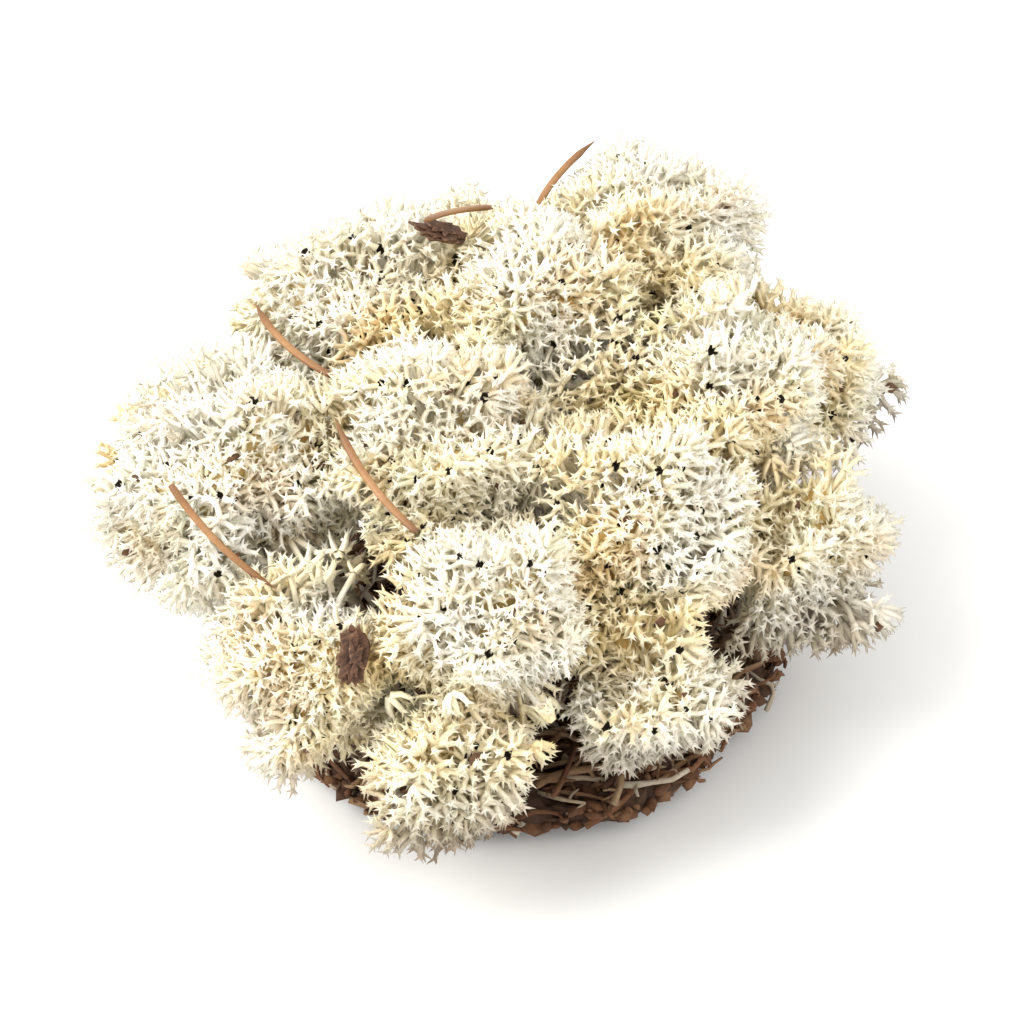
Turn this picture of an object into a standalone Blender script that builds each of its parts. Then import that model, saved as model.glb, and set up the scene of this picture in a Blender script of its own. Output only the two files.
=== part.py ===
"""Reindeer moss clump: rounded crowns of finely forked lichen on leaning stems, rooted in a mat of forest litter."""

import math
import random

import bmesh
import bpy
from mathutils import Matrix, Vector, noise
from mathutils.bvhtree import BVHTree

# Sizes are in millimetres, and MM turns them into Blender's metres
MM = 0.001

# One row for each lichen head: x, y and z of the crown's centre, and the crown's radius
HEADS = (
    (-8.2, -0.7, 35.0, 12.5),
    (9.8, 4.8, 35.5, 12.5),
    (-0.2, 19.8, 32.0, 13.5),
    (24.8, 7.8, 31.0, 13.0),
    (-23.2, 11.8, 31.5, 14.0),
    (-16.2, -17.2, 29.0, 12.0),
    (2.8, -17.7, 28.5, 12.5),
    (18.3, -11.2, 30.0, 12.0),
    (-30.2, -6.2, 25.0, 10.0),
    (15.8, 22.8, 24.5, 10.0),
    (-14.2, 26.8, 22.5, 9.0),
    (30.3, -7.7, 21.0, 9.0),
    (-25.2, -19.7, 18.5, 8.8),
    (-5.9, -26.4, 18.5, 9.0),
    (15.6, -24.0, 19.0, 9.8),
    (-22.7, 23.8, 20.0, 7.5),
)
PIECE_GAP = 0.3
SHARPEST_SMOOTH_TURN = math.radians(50)
LEAN_HEIGHT = 32.0
LEAN_ORIGIN_DEPTH = 30.0

# Crown: a ring of lobes round a core, covered with branch tips that stand out of pits
CORE_SHARE = 0.78
LOBE_COUNT = 11
LOBE_OFFSET_SHARE = 0.58
LOBE_RADIUS_SHARE = 0.44
LOBE_VARIATION = 0.1
LOWEST_LOBE_ANGLE = math.radians(100)
TIP_SPACING = 4.4
TIP_LENGTH = 2.5
TIP_VARIATION = 0.35
LOWEST_TIP_ANGLE = math.radians(122)
PRESSED_SHARE = 0.8
PRESSED_PIT_SHARE = 0.93
PRESSED_THINNING = 3
GOLDEN_ANGLE = math.pi * (3 - math.sqrt(5))

# Funnel of fused branches under each crown, and the stem that carries it
FUNNEL_REACH_SHARE = 0.66
FUNNEL_HALF_ANGLE = math.radians(21)
FUNNEL_RINGS = ((math.radians(142), 7), (math.radians(162), 5))
STEM_RADIUS = 2.1
STEM_TOP_RADIUS = 2.8
STEM_SIDES = 6
STEM_FOOT_HEIGHT = 3.3

# Free branches that arch from the stem to the crown's rim, each with one fork
RIM_BRANCHES = 5
BRANCH_RADIUS = 0.95
BRANCH_TIP_RADIUS = 0.6
BRANCH_SIDES = 3
BRANCH_STEPS = 3
FORK_STEP = 1
BRANCH_START_SHARE = 0.22
BRANCH_BULGE_SHARE = 0.92
BRANCH_RIM_SHARE = 0.8
BRANCH_DROP_SHARE = 0.3
MOST_BENT_SHARE = 0.3
FORK_SHARE = 0.5
FORK_TURN = math.radians(34)
BRANCH_CLEARANCE = 1.2
CLEARING_ROUNDS = 12

# Mat of dead stems and forest litter
MAT_RADIUS = 25.5
MAT_OVAL = 0.05
MAT_WAVES = ((3, 1.0, 0.6), (7, 0.5, 2.0))
MAT_TOP = 6.0
MAT_BUMP = 1.7
MAT_GRAIN = 3.5
MAT_RIM_TOP = 3.6
MAT_RIM_FOOT = 2.0
MAT_FOOT_SHARE = 0.6
MAT_SEGMENTS = 22
MAT_RINGS = (0.25, 0.45, 0.6, 0.8, 1.0)
SOCKET_FLARE = 1.05
DEAD_STEMS = 14
DEAD_STEM_LENGTH = 8.0
DEAD_STEM_RADIUS = 0.75
DEAD_STEM_ROOT = (5.0, 2.9)
DEAD_STEM_TIP_HEIGHTS = (1.2, 5.6)
DEAD_STEM_SWAY = 4.0
DEAD_STEM_ARCH = 0.6
DEAD_STEM_TAPER = 0.7

# Litter that has fallen on the clump: x and y of its middle, turn in degrees, length, and a flake's width
NEEDLES = (
    (10.8, 16.3, 18.0, 15.0),
    (22.8, 16.3, 24.0, 14.0),
    (-11.2, 16.3, 84.0, 13.0),
    (-31.2, 3.3, 103.0, 14.0),
    (-18.7, -5.2, 80.0, 15.0),
)
NEEDLE_RADIUS = 0.45
NEEDLE_BOW = 0.9
NEEDLE_STEPS = 6
FLAKES = (
    (6.8, 15.8, 14.0, 8.0, 4.4),
    (-29.7, -13.2, 35.0, 6.5, 3.6),
)
FLAKE_THICKNESS = 0.9
FLAKE_SIDES = 8
FLAKE_RAGGEDNESS = 0.22
SIGHT_HEIGHT = 80.0
SIGHT_STEPS = 12
STEEPEST_SLOPE = 0.7
SLOPE_STEPS = 48
SETTLE_STEP = 0.05

COLOURS = {
    "lichen": ((0.78, 0.74, 0.58, 1.0), 0.9),
    "litter": ((0.13, 0.075, 0.045, 1.0), 0.95),
    "needle": ((0.38, 0.17, 0.06, 1.0), 0.6),
    "bark": ((0.2, 0.1, 0.055, 1.0), 0.85),
}


def spread(height):
    """How far apart the leaning heads stand at a height, as a share of their spacing at LEAN_HEIGHT."""
    return (height + LEAN_ORIGIN_DEPTH) / (LEAN_HEIGHT + LEAN_ORIGIN_DEPTH)


class Head:
    """One lichen plant: a stem that leans out from the clump's middle, and its crown."""

    def __init__(self, number, row):
        self.name = f"lichen_head_{number:02d}"
        self.centre = Vector(row[:3])
        self.radius = row[3]
        self.draw = random.Random(number)
        self.site = self.centre.xy / spread(self.centre.z)
        self.site_radius = self.radius / spread(self.centre.z)
        foot_spread = spread(STEM_FOOT_HEIGHT)
        self.foot = Vector((*(self.site * foot_spread), STEM_FOOT_HEIGHT))
        self.axis = (self.centre - self.foot).normalized()
        self.side = self.axis.orthogonal().normalized()
        self.other_side = self.axis.cross(self.side)
        self.lobes = self.make_lobes()
        self.walls = []

    def direction(self, angle, turn):
        """Unit vector at an angle from the stem's axis, turned round it."""
        outward = self.side * math.cos(turn) + self.other_side * math.sin(turn)
        return self.axis * math.cos(angle) + outward * math.sin(angle)

    def make_lobes(self):
        """Spheres, as (offset from the crown's centre, radius), that give the crown its rounded lumps."""
        lobes = [(Vector(), self.radius * CORE_SHARE)]
        for n in range(LOBE_COUNT):
            share = (n + 0.4) / LOBE_COUNT
            angle = math.acos(1 - share * (1 - math.cos(LOWEST_LOBE_ANGLE)))
            offset = self.direction(angle, n * GOLDEN_ANGLE) * self.radius * LOBE_OFFSET_SHARE
            size = LOBE_RADIUS_SHARE * (1 + LOBE_VARIATION * self.draw.uniform(-1, 1))
            lobes.append((offset, self.radius * size))
        return lobes

    def add_walls(self, heads):
        """Tilted planes, as (normal, offset), that part this head from each of its neighbours."""
        for other in heads:
            if other is self:
                continue
            step = other.site - self.site
            apart = step.length
            across = step / apart
            shared = (apart**2 + self.site_radius**2 - other.site_radius**2) / (2 * apart)
            place = across.dot(self.site) + shared
            slope = place / (LEAN_HEIGHT + LEAN_ORIGIN_DEPTH)
            normal = Vector((*across, -slope))
            offset = slope * LEAN_ORIGIN_DEPTH / normal.length - PIECE_GAP / 2
            self.walls.append((normal.normalized(), offset))

    def room(self, direction):
        """Distance from the crown's centre to the nearest wall along a direction."""
        rooms = [math.inf]
        for normal, offset in self.walls:
            along = normal.dot(direction)
            if along > 0:
                rooms.append((offset - normal.dot(self.centre)) / along)
        return min(rooms)

    def reach(self, direction):
        """Distance from the crown's centre to the outer side of its lobes and funnel along a direction."""
        best = 0.0
        for offset, radius in self.lobes:
            along = offset.dot(direction)
            inside = radius**2 - offset.length_squared + along**2
            if inside > 0:
                best = max(best, along + math.sqrt(inside))
        below = math.acos(max(-1.0, min(1.0, -direction.dot(self.axis))))
        if below < math.pi / 2:
            length = (self.centre - self.foot).length * FUNNEL_REACH_SHARE
            funnel = length * math.sin(FUNNEL_HALF_ANGLE) / math.sin(FUNNEL_HALF_ANGLE + below)
            best = max(best, funnel)
        return best

    def keep_clear(self, point, margin):
        """The point moved until it is a margin inside every wall."""
        moved = point.copy()
        for _ in range(CLEARING_ROUNDS):
            for normal, offset in self.walls:
                over = normal.dot(moved) - (offset - margin)
                if over > 0:
                    moved -= normal * over
        return moved


def tip_directions(head):
    """Directions of the branch tips: even over the crown, sparse where a neighbour presses, few on the funnel."""
    cap = 1 - math.cos(LOWEST_TIP_ANGLE)
    area = 2 * math.pi * head.radius**2 * cap
    count = round(area / (TIP_SPACING**2 * math.sqrt(3) / 2))
    found = []
    for n in range(count):
        angle = math.acos(1 - (n + 0.5) / count * cap)
        direction = head.direction(angle, n * GOLDEN_ANGLE)
        pressed = head.room(direction) < head.reach(direction) * PRESSED_SHARE
        if not pressed or n % PRESSED_THINNING == 0:
            found.append(direction)
    for angle, number in FUNNEL_RINGS:
        found += [head.direction(angle, math.tau * (n + 0.5) / number) for n in range(number)]
    found.append(-head.axis)
    return found


def crown_mesh(head):
    """The crown and its funnel as one closed surface: tips at the corners of a hull, and a pit in each of its faces."""
    hull = bmesh.new()
    for direction in tip_directions(head):
        hull.verts.new(direction)
    bmesh.ops.convex_hull(hull, input=hull.verts)
    bmesh.ops.triangulate(hull, faces=hull.faces)
    hull.verts.index_update()
    hull.faces.index_update()
    made = bmesh.new()
    tips = []
    for vert in hull.verts:
        direction = vert.co.normalized()
        reach = head.reach(direction) + TIP_LENGTH * TIP_VARIATION * head.draw.uniform(-1, 0.6)
        tips.append(made.verts.new(head.centre + direction * min(reach, head.room(direction))))
    pits = []
    for face in hull.faces:
        direction = face.calc_center_median().normalized()
        reach = head.reach(direction) - TIP_LENGTH
        limit = head.room(direction) * PRESSED_PIT_SHARE
        pits.append(made.verts.new(head.centre + direction * min(reach, limit)))
    for edge in hull.edges:
        first, second = (pits[face.index] for face in edge.link_faces)
        for vert in edge.verts:
            corners = [tips[vert.index], first, second]
            a, b, c = (corner.co - head.centre for corner in corners)
            if a.cross(b).dot(c) < 0:
                corners.reverse()
            made.faces.new(corners)
    hull.free()
    return made


def arc(start, middle, end, steps):
    """Points along a smooth curve that leaves start towards middle and comes to end."""
    points = []
    for n in range(steps + 1):
        t = n / steps
        points.append(start * (1 - t) ** 2 + middle * 2 * t * (1 - t) + end * t**2)
    return points


def tube_mesh(points, start_radius, end_radius, sides):
    """A closed tapered tube along the points."""
    made = bmesh.new()
    rings = []
    side = (points[1] - points[0]).orthogonal().normalized()
    for n, point in enumerate(points):
        ahead = points[min(n + 1, len(points) - 1)] - points[max(n - 1, 0)]
        ahead.normalize()
        side = (side - ahead * side.dot(ahead)).normalized()
        up = ahead.cross(side)
        radius = start_radius + (end_radius - start_radius) * n / (len(points) - 1)
        ring = []
        for k in range(sides):
            turn = math.tau * k / sides
            ring.append(made.verts.new(point + (side * math.cos(turn) + up * math.sin(turn)) * radius))
        rings.append(ring)
    for near, far in zip(rings, rings[1:]):
        for k in range(sides):
            made.faces.new((near[k], near[(k + 1) % sides], far[(k + 1) % sides], far[k]))
    made.faces.new(reversed(rings[0]))
    made.faces.new(rings[-1])
    return made


def branch_meshes(head):
    """The stem, and the free branches round it that no neighbour crowds out."""
    run = head.centre - head.foot
    meshes = [tube_mesh([head.foot, head.centre - run * (1 - FUNNEL_REACH_SHARE)],
                        STEM_RADIUS, STEM_TOP_RADIUS, STEM_SIDES)]
    first_turn = head.draw.uniform(0, math.tau)
    start = head.foot + run * BRANCH_START_SHARE
    for n in range(RIM_BRANCHES):
        turn = first_turn + math.tau * n / RIM_BRANCHES
        for fork in (0, 1):
            outward = head.direction(math.pi / 2, turn + fork * FORK_TURN)
            middle = head.foot + run * FORK_SHARE + outward * head.radius * BRANCH_BULGE_SHARE
            end = head.centre + outward * head.radius * BRANCH_RIM_SHARE
            end -= head.axis * head.radius * BRANCH_DROP_SHARE
            points = arc(start, middle, end, BRANCH_STEPS)
            if fork:
                points = points[FORK_STEP:]
                points[0] = trunk_point
            clear = [head.keep_clear(point, BRANCH_RADIUS * BRANCH_CLEARANCE) for point in points]
            bent = max((a - b).length for a, b in zip(points, clear))
            if bent > head.radius * MOST_BENT_SHARE:
                break
            trunk_point = clear[FORK_STEP]
            meshes.append(tube_mesh(clear, BRANCH_RADIUS, BRANCH_TIP_RADIUS, BRANCH_SIDES))
    return meshes


def new_object(name, made, colour, collection=None):
    """A Blender object in metres from a mesh in millimetres."""
    bmesh.ops.recalc_face_normals(made, faces=made.faces)
    bmesh.ops.scale(made, vec=(MM, MM, MM), verts=made.verts)
    data = bpy.data.meshes.new(name)
    made.to_mesh(data)
    made.free()
    obj = bpy.data.objects.new(name, data)
    (collection or bpy.context.scene.collection).objects.link(obj)
    if colour:
        data.materials.append(material(colour))
        data.shade_smooth()
        data.set_sharp_from_angle(angle=SHARPEST_SMOOTH_TURN)
    return obj


def material(slot):
    """The matt material of a slot, made once."""
    found = bpy.data.materials.get(slot)
    if found is None:
        found = bpy.data.materials.new(slot)
        found.use_nodes = True
        colour, roughness = COLOURS[slot]
        shader = found.node_tree.nodes["Principled BSDF"]
        shader.inputs["Base Color"].default_value = colour
        shader.inputs["Roughness"].default_value = roughness
    return found


def combine(obj, meshes, operation):
    """Joins the meshes to the object, or cuts them from it, and leaves one plain mesh."""
    tools = bpy.data.collections.new(f"{obj.name}_tools")
    bpy.context.scene.collection.children.link(tools)
    for n, made in enumerate(meshes):
        new_object(f"{obj.name}_tool_{n}", made, None, tools)
    modifier = obj.modifiers.new("combine", "BOOLEAN")
    modifier.operation = operation
    modifier.operand_type = "COLLECTION"
    modifier.collection = tools
    modifier.solver = "EXACT"
    graph = bpy.context.evaluated_depsgraph_get()
    joined = bpy.data.meshes.new_from_object(obj.evaluated_get(graph))
    obj.modifiers.clear()
    obj.data = joined
    for tool in list(tools.objects):
        bpy.data.objects.remove(tool)
    bpy.data.collections.remove(tools)


def add_head(head):
    """One lichen head as a single solid."""
    obj = new_object(head.name, crown_mesh(head), "lichen")
    combine(obj, branch_meshes(head), "UNION")
    return obj


def mat_radius(turn):
    """Distance from the middle to the mat's ragged rim."""
    oval = MAT_RADIUS * (1 + MAT_OVAL * math.cos(2 * turn))
    return oval + sum(swing * math.sin(times * turn + start) for times, swing, start in MAT_WAVES)


def mat_heights(share, point):
    """Height of the mat's underside and top at a share of the way to its rim."""
    bump = noise.noise(point / MAT_GRAIN) * MAT_BUMP
    edge = max(0.0, (share - MAT_FOOT_SHARE) / (1 - MAT_FOOT_SHARE))
    foot = MAT_RIM_FOOT * edge**2
    top = MAT_TOP + bump + (MAT_RIM_TOP - MAT_TOP) * edge**2
    return foot, top


def mat_mesh():
    """A low ragged cushion with a level foot."""
    made = bmesh.new()
    layers = []
    for side in (0, 1):
        heights = mat_heights(0.0, Vector())
        rings = [[made.verts.new((0, 0, heights[side]))]]
        for share in MAT_RINGS:
            ring = []
            for n in range(MAT_SEGMENTS):
                turn = math.tau * n / MAT_SEGMENTS
                radius = mat_radius(turn) * share
                flat = Vector((math.cos(turn) * radius, math.sin(turn) * radius, 0))
                ring.append(made.verts.new((flat.x, flat.y, mat_heights(share, flat)[side])))
            rings.append(ring)
        layers.append(rings)
    for rings in layers:
        for k in range(MAT_SEGMENTS):
            after = (k + 1) % MAT_SEGMENTS
            made.faces.new((rings[0][0], rings[1][k], rings[1][after]))
            for near, far in zip(rings[1:], rings[2:]):
                made.faces.new((near[k], far[k], far[after], near[after]))
    for k in range(MAT_SEGMENTS):
        after = (k + 1) % MAT_SEGMENTS
        low, high = layers[0][-1], layers[1][-1]
        made.faces.new((low[k], low[after], high[after], high[k]))
    bmesh.ops.triangulate(made, faces=made.faces)
    return made


def dead_stem_meshes():
    """Short dead stems that stick out of the mat's rim."""
    draw = random.Random(DEAD_STEMS)
    depth, height = DEAD_STEM_ROOT
    meshes = []
    for n in range(DEAD_STEMS):
        turn = math.tau * (n + draw.uniform(-0.3, 0.3)) / DEAD_STEMS
        outward = Vector((math.cos(turn), math.sin(turn), 0))
        start = outward * (mat_radius(turn) - depth) + Vector((0, 0, height))
        end = start + outward * DEAD_STEM_LENGTH * draw.uniform(0.85, 1.1)
        end += outward.cross(Vector((0, 0, 1))) * DEAD_STEM_SWAY * draw.uniform(-1, 1)
        end.z = draw.uniform(*DEAD_STEM_TIP_HEIGHTS)
        middle = (start + end) / 2 + Vector((0, 0, DEAD_STEM_ARCH))
        tip_radius = DEAD_STEM_RADIUS * DEAD_STEM_TAPER
        meshes.append(tube_mesh([start, middle, end], DEAD_STEM_RADIUS, tip_radius, 4))
    return meshes


def add_mat(heads):
    """The mat, with a plain socket for each head's stem."""
    obj = new_object("litter_mat", mat_mesh(), "litter")
    combine(obj, dead_stem_meshes(), "UNION")
    sockets = []
    for head in heads:
        radius = (STEM_RADIUS + PIECE_GAP) / math.cos(math.pi / STEM_SIDES)
        bottom = head.foot - head.axis * PIECE_GAP
        top = head.foot + head.axis * (MAT_TOP + 2 * MAT_BUMP)
        sockets.append(tube_mesh([bottom, top], radius, radius * SOCKET_FLARE, STEM_SIDES))
    combine(obj, sockets, "DIFFERENCE")
    return obj


def surface_height(trees, point):
    """Height of the highest surface under a point."""
    heights = [0.0]
    for tree in trees:
        hit = tree.ray_cast(Vector((point.x, point.y, SIGHT_HEIGHT)) * MM, Vector((0, 0, -1)))[0]
        if hit is not None:
            heights.append(hit.z / MM)
    return max(heights)


def resting_slope(trees, middle, along, length):
    """The slope at which a straight stick through the middle lies lowest on what is below it."""
    shares = [n / SIGHT_STEPS - 0.5 for n in range(SIGHT_STEPS + 1)]
    profile = [(share * length, surface_height(trees, middle + along * share * length)) for share in shares]
    best = (math.inf, 0.0)
    for n in range(SLOPE_STEPS + 1):
        slope = STEEPEST_SLOPE * (2 * n / SLOPE_STEPS - 1)
        best = min(best, (max(height - slope * place for place, height in profile), slope))
    return best[1]


def settle(trees, points, clearance):
    """The drop from SIGHT_HEIGHT that brings the points to just more than the clearance from every surface."""
    lowered = 0.0
    while lowered < SIGHT_HEIGHT:
        after = lowered + SETTLE_STEP
        for point in points:
            place = (point + Vector((0, 0, SIGHT_HEIGHT - after))) * MM
            if any(tree.find_nearest(place, clearance * MM)[0] is not None for tree in trees):
                return lowered
        lowered = after
    return lowered


def lie_on(trees, middle, degrees, length, width):
    """Directions along and across a piece that lies on the clump, each sloped as the surfaces below it make it."""
    turn = math.radians(degrees)
    along = Vector((math.cos(turn), math.sin(turn), 0))
    across = Vector((-along.y, along.x, 0))
    along.z = resting_slope(trees, middle, along, length)
    if width:
        across.z = resting_slope(trees, middle, across, width)
    return along.normalized(), across.normalized()


def add_needle(number, trees, row):
    """A pine needle with a slight bow, lying where it fell."""
    x, y, degrees, length = row
    middle = Vector((x, y, 0))
    along, across = lie_on(trees, middle, degrees, length, 0)
    first, last = middle - along * length / 2, middle + along * length / 2
    bow = middle + across * NEEDLE_BOW * 2
    close = arc(first, bow, last, NEEDLE_STEPS * 6)
    height = SIGHT_HEIGHT - settle(trees, close, NEEDLE_RADIUS + PIECE_GAP)
    points = [point + Vector((0, 0, height)) for point in arc(first, bow, last, NEEDLE_STEPS)]
    made = tube_mesh(points, NEEDLE_RADIUS, NEEDLE_RADIUS * 0.8, 4)
    return new_object(f"pine_needle_{number}", made, "needle")


def add_flake(number, trees, row):
    """A ragged flake of bark, lying where it fell."""
    x, y, degrees, length, width = row
    middle = Vector((x, y, 0))
    along, across = lie_on(trees, middle, degrees, length, width)
    up = along.cross(across).normalized()
    rim = []
    for k in range(FLAKE_SIDES):
        turn = math.tau * k / FLAKE_SIDES
        ragged = 1 + FLAKE_RAGGEDNESS * math.sin(3 * turn + number)
        rim.append((along * math.cos(turn) * length / 2 + across * math.sin(turn) * width / 2) * ragged)
    close = [middle + point * share for share in (0, 0.25, 0.5, 0.75, 1) for point in rim]
    height = SIGHT_HEIGHT - settle(trees, close, PIECE_GAP)
    base = middle + Vector((0, 0, height))
    made = bmesh.new()
    low = [made.verts.new(base + point) for point in rim]
    high = [made.verts.new(base + point + up * FLAKE_THICKNESS) for point in rim]
    made.faces.new(reversed(low))
    made.faces.new(high)
    for k in range(FLAKE_SIDES):
        after = (k + 1) % FLAKE_SIDES
        made.faces.new((low[k], low[after], high[after], high[k]))
    return new_object(f"bark_flake_{number}", made, "bark")


def place_at(obj, point, parent):
    """Puts the object's origin at a point and hangs it from the parent, with its surface left where it is."""
    obj.data.transform(Matrix.Translation(-point * MM))
    obj.location = point * MM
    obj.parent = parent


def tree_of(obj):
    """A search tree over an object's faces."""
    return BVHTree.FromPolygons([v.co for v in obj.data.vertices], [p.vertices for p in obj.data.polygons])


def main():
    """Builds the whole clump."""
    for obj in list(bpy.data.objects):
        bpy.data.objects.remove(obj)
    clump = bpy.data.objects.new("clump", None)
    bpy.context.scene.collection.objects.link(clump)
    heads = [Head(number, row) for number, row in enumerate(HEADS, 1)]
    for head in heads:
        head.add_walls(heads)
    solids = [add_head(head) for head in heads]
    origins = [head.foot for head in heads]
    mat = add_mat(heads)
    for number, row in enumerate(FLAKES, 1):
        solids.append(add_flake(number, [tree_of(obj) for obj in solids], row))
    for number, row in enumerate(NEEDLES, 1):
        solids.append(add_needle(number, [tree_of(obj) for obj in solids], row))
    for obj in solids[len(heads):]:
        origins.append(obj.data.vertices[0].co / MM)
    for obj, origin in zip(solids, origins):
        place_at(obj, origin, clump)
    mat.parent = clump


main()
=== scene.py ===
"""Reindeer moss clump: finely forked lichen heads rooted in forest litter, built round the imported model."""

import logging
import math
import random
from dataclasses import dataclass, field
from enum import Enum

import bmesh
import bpy
import numpy as np
from mathutils import Matrix, Vector, noise

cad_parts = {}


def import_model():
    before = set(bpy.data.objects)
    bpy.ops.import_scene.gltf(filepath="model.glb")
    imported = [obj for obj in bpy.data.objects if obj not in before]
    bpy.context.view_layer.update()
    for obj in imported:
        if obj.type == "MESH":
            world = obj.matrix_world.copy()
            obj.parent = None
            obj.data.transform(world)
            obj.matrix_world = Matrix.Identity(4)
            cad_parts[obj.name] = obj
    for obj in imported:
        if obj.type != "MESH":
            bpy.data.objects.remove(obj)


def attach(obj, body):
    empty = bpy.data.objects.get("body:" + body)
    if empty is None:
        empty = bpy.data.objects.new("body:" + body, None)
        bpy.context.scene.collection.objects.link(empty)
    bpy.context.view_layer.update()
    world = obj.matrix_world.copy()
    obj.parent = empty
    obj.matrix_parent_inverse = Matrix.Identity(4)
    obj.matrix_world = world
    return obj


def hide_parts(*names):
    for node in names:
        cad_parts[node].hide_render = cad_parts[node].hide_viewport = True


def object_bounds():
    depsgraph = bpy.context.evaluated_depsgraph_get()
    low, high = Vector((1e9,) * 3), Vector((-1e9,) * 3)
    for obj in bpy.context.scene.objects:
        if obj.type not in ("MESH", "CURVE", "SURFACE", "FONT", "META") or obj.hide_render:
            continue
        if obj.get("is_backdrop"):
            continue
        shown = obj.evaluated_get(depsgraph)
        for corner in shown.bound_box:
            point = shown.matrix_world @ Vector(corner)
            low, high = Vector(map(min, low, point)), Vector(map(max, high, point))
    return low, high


LOG = logging.getLogger("reindeer_moss")

# Sizes are in millimetres, and MM turns them into Blender's metres. TUBE_POINT is in radii of the tube's end
MM = 0.001
GOLDEN_ANGLE = math.pi * (3 - math.sqrt(5))
BODY = "root"

# One row for each lichen head: x, y and z of the crown's centre, and the crown's radius
HEADS = (
    (-8.2, -0.7, 35.0, 12.5),
    (9.8, 4.8, 35.5, 12.5),
    (-0.2, 19.8, 32.0, 13.5),
    (24.8, 7.8, 31.0, 13.0),
    (-23.2, 11.8, 31.5, 14.0),
    (-16.2, -17.2, 29.0, 12.0),
    (2.8, -17.7, 28.5, 12.5),
    (18.3, -11.2, 30.0, 12.0),
    (-30.2, -6.2, 25.0, 10.0),
    (15.8, 22.8, 24.5, 10.0),
    (-14.2, 26.8, 22.5, 9.0),
    (30.3, -7.7, 21.0, 9.0),
    (-25.2, -19.7, 18.5, 8.8),
    (-5.9, -26.4, 18.5, 9.0),
    (15.6, -24.0, 19.0, 9.8),
    (-22.7, 23.8, 20.0, 7.5),
)
NEEDLE_COUNT = 5
FLAKE_COUNT = 2
TUBE_POINT = 0.7

Array = np.ndarray


class Slot(Enum):
    """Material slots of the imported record."""

    LICHEN = "lichen"
    LITTER = "litter"
    NEEDLE = "needle"
    BARK = "bark"


class Shade(Enum):
    """Values that a surface carries at its points for its finish."""

    # For the lichen, depth under the cushion, which darkens it: partly its own colour, partly painted shade.
    # For the litter, its share of peat
    DEPTH = "depth"
    # Near-black painted shade in the pits of the open whorls
    PIT_SHADE = "pit_shade"
    # Where each point sits on its finish's colours; on the lichen's core it is 1, which paints shade there
    TINT = "tint"
    DEBRIS = "debris"


# Vector helpers


def unit(vectors: Array) -> Array:
    """Vectors of length one.

    Args:
        vectors: Vectors along the last axis.

    Returns:
        The same directions at length one.
    """
    return vectors / np.maximum(np.linalg.norm(vectors, axis=-1, keepdims=True), 1e-9)


def across(vectors: Array) -> Array:
    """Unit vectors square to the given ones.

    Args:
        vectors: Unit vectors along the last axis.

    Returns:
        One square vector for each.
    """
    spare = np.where(np.abs(vectors[..., 2:3]) < 0.9, (0.0, 0.0, 1.0), (1.0, 0.0, 0.0))
    return unit(np.cross(vectors, spare))


def around(axes: Array, turns: Array) -> Array:
    """Unit vectors square to each axis, turned round it.

    Args:
        axes: Unit vectors, (n, 3).
        turns: Angles in radians, (n,).

    Returns:
        The turned vectors, (n, 3).
    """
    side = across(axes)
    return side * np.cos(turns)[:, None] + np.cross(axes, side) * np.sin(turns)[:, None]


def tilted(axes: Array, turns: Array, angles: Array) -> Array:
    """Unit vectors leaning away from each axis by an angle, turned round it.

    Args:
        axes: Unit vectors, (n, 3).
        turns: Turns round the axes in radians, (n,).
        angles: Leans from the axes in radians, (n,).

    Returns:
        The leaning vectors, (n, 3).
    """
    return axes * np.cos(angles)[:, None] + around(axes, turns) * np.sin(angles)[:, None]


def rings_round(side: Array, other: Array, sides: int) -> Array:
    """Unit vectors all the way round axes, evenly spaced.

    Args:
        side: Unit vectors square to the axes, (n, 3).
        other: Unit vectors square to the axes and to side, (n, 3).
        sides: Vectors of a ring.

    Returns:
        The vectors, (n, sides, 3).
    """
    turns = np.arange(sides) * math.tau / sides
    return side[:, None] * np.cos(turns)[None, :, None] + other[:, None] * np.sin(turns)[None, :, None]


def curves(corners: tuple, steps: int) -> Array:
    """Points along cubic curves.

    Args:
        corners: The four control points of the curves, each (n, 3).
        steps: Points on each curve.

    Returns:
        Points, (n, steps, 3).
    """
    first, second, third, last = (corner[:, None] for corner in corners)
    t = np.linspace(0, 1, steps)[None, :, None]
    s = 1 - t
    return first * s**3 + second * 3 * s * s * t + third * 3 * s * t * t + last * t**3


def tapers(start: Array, end: Array, steps: int) -> Array:
    """Radii that go evenly from a start to an end.

    Args:
        start: First radius of each path, (n,) or a number.
        end: Last radius of each path, (n,) or a number.
        steps: Points on each path.

    Returns:
        Radii, (n, steps).
    """
    start, end = np.atleast_1d(start), np.atleast_1d(end)
    return start[:, None] + (end - start)[:, None] * np.linspace(0, 1, steps)[None]


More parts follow.
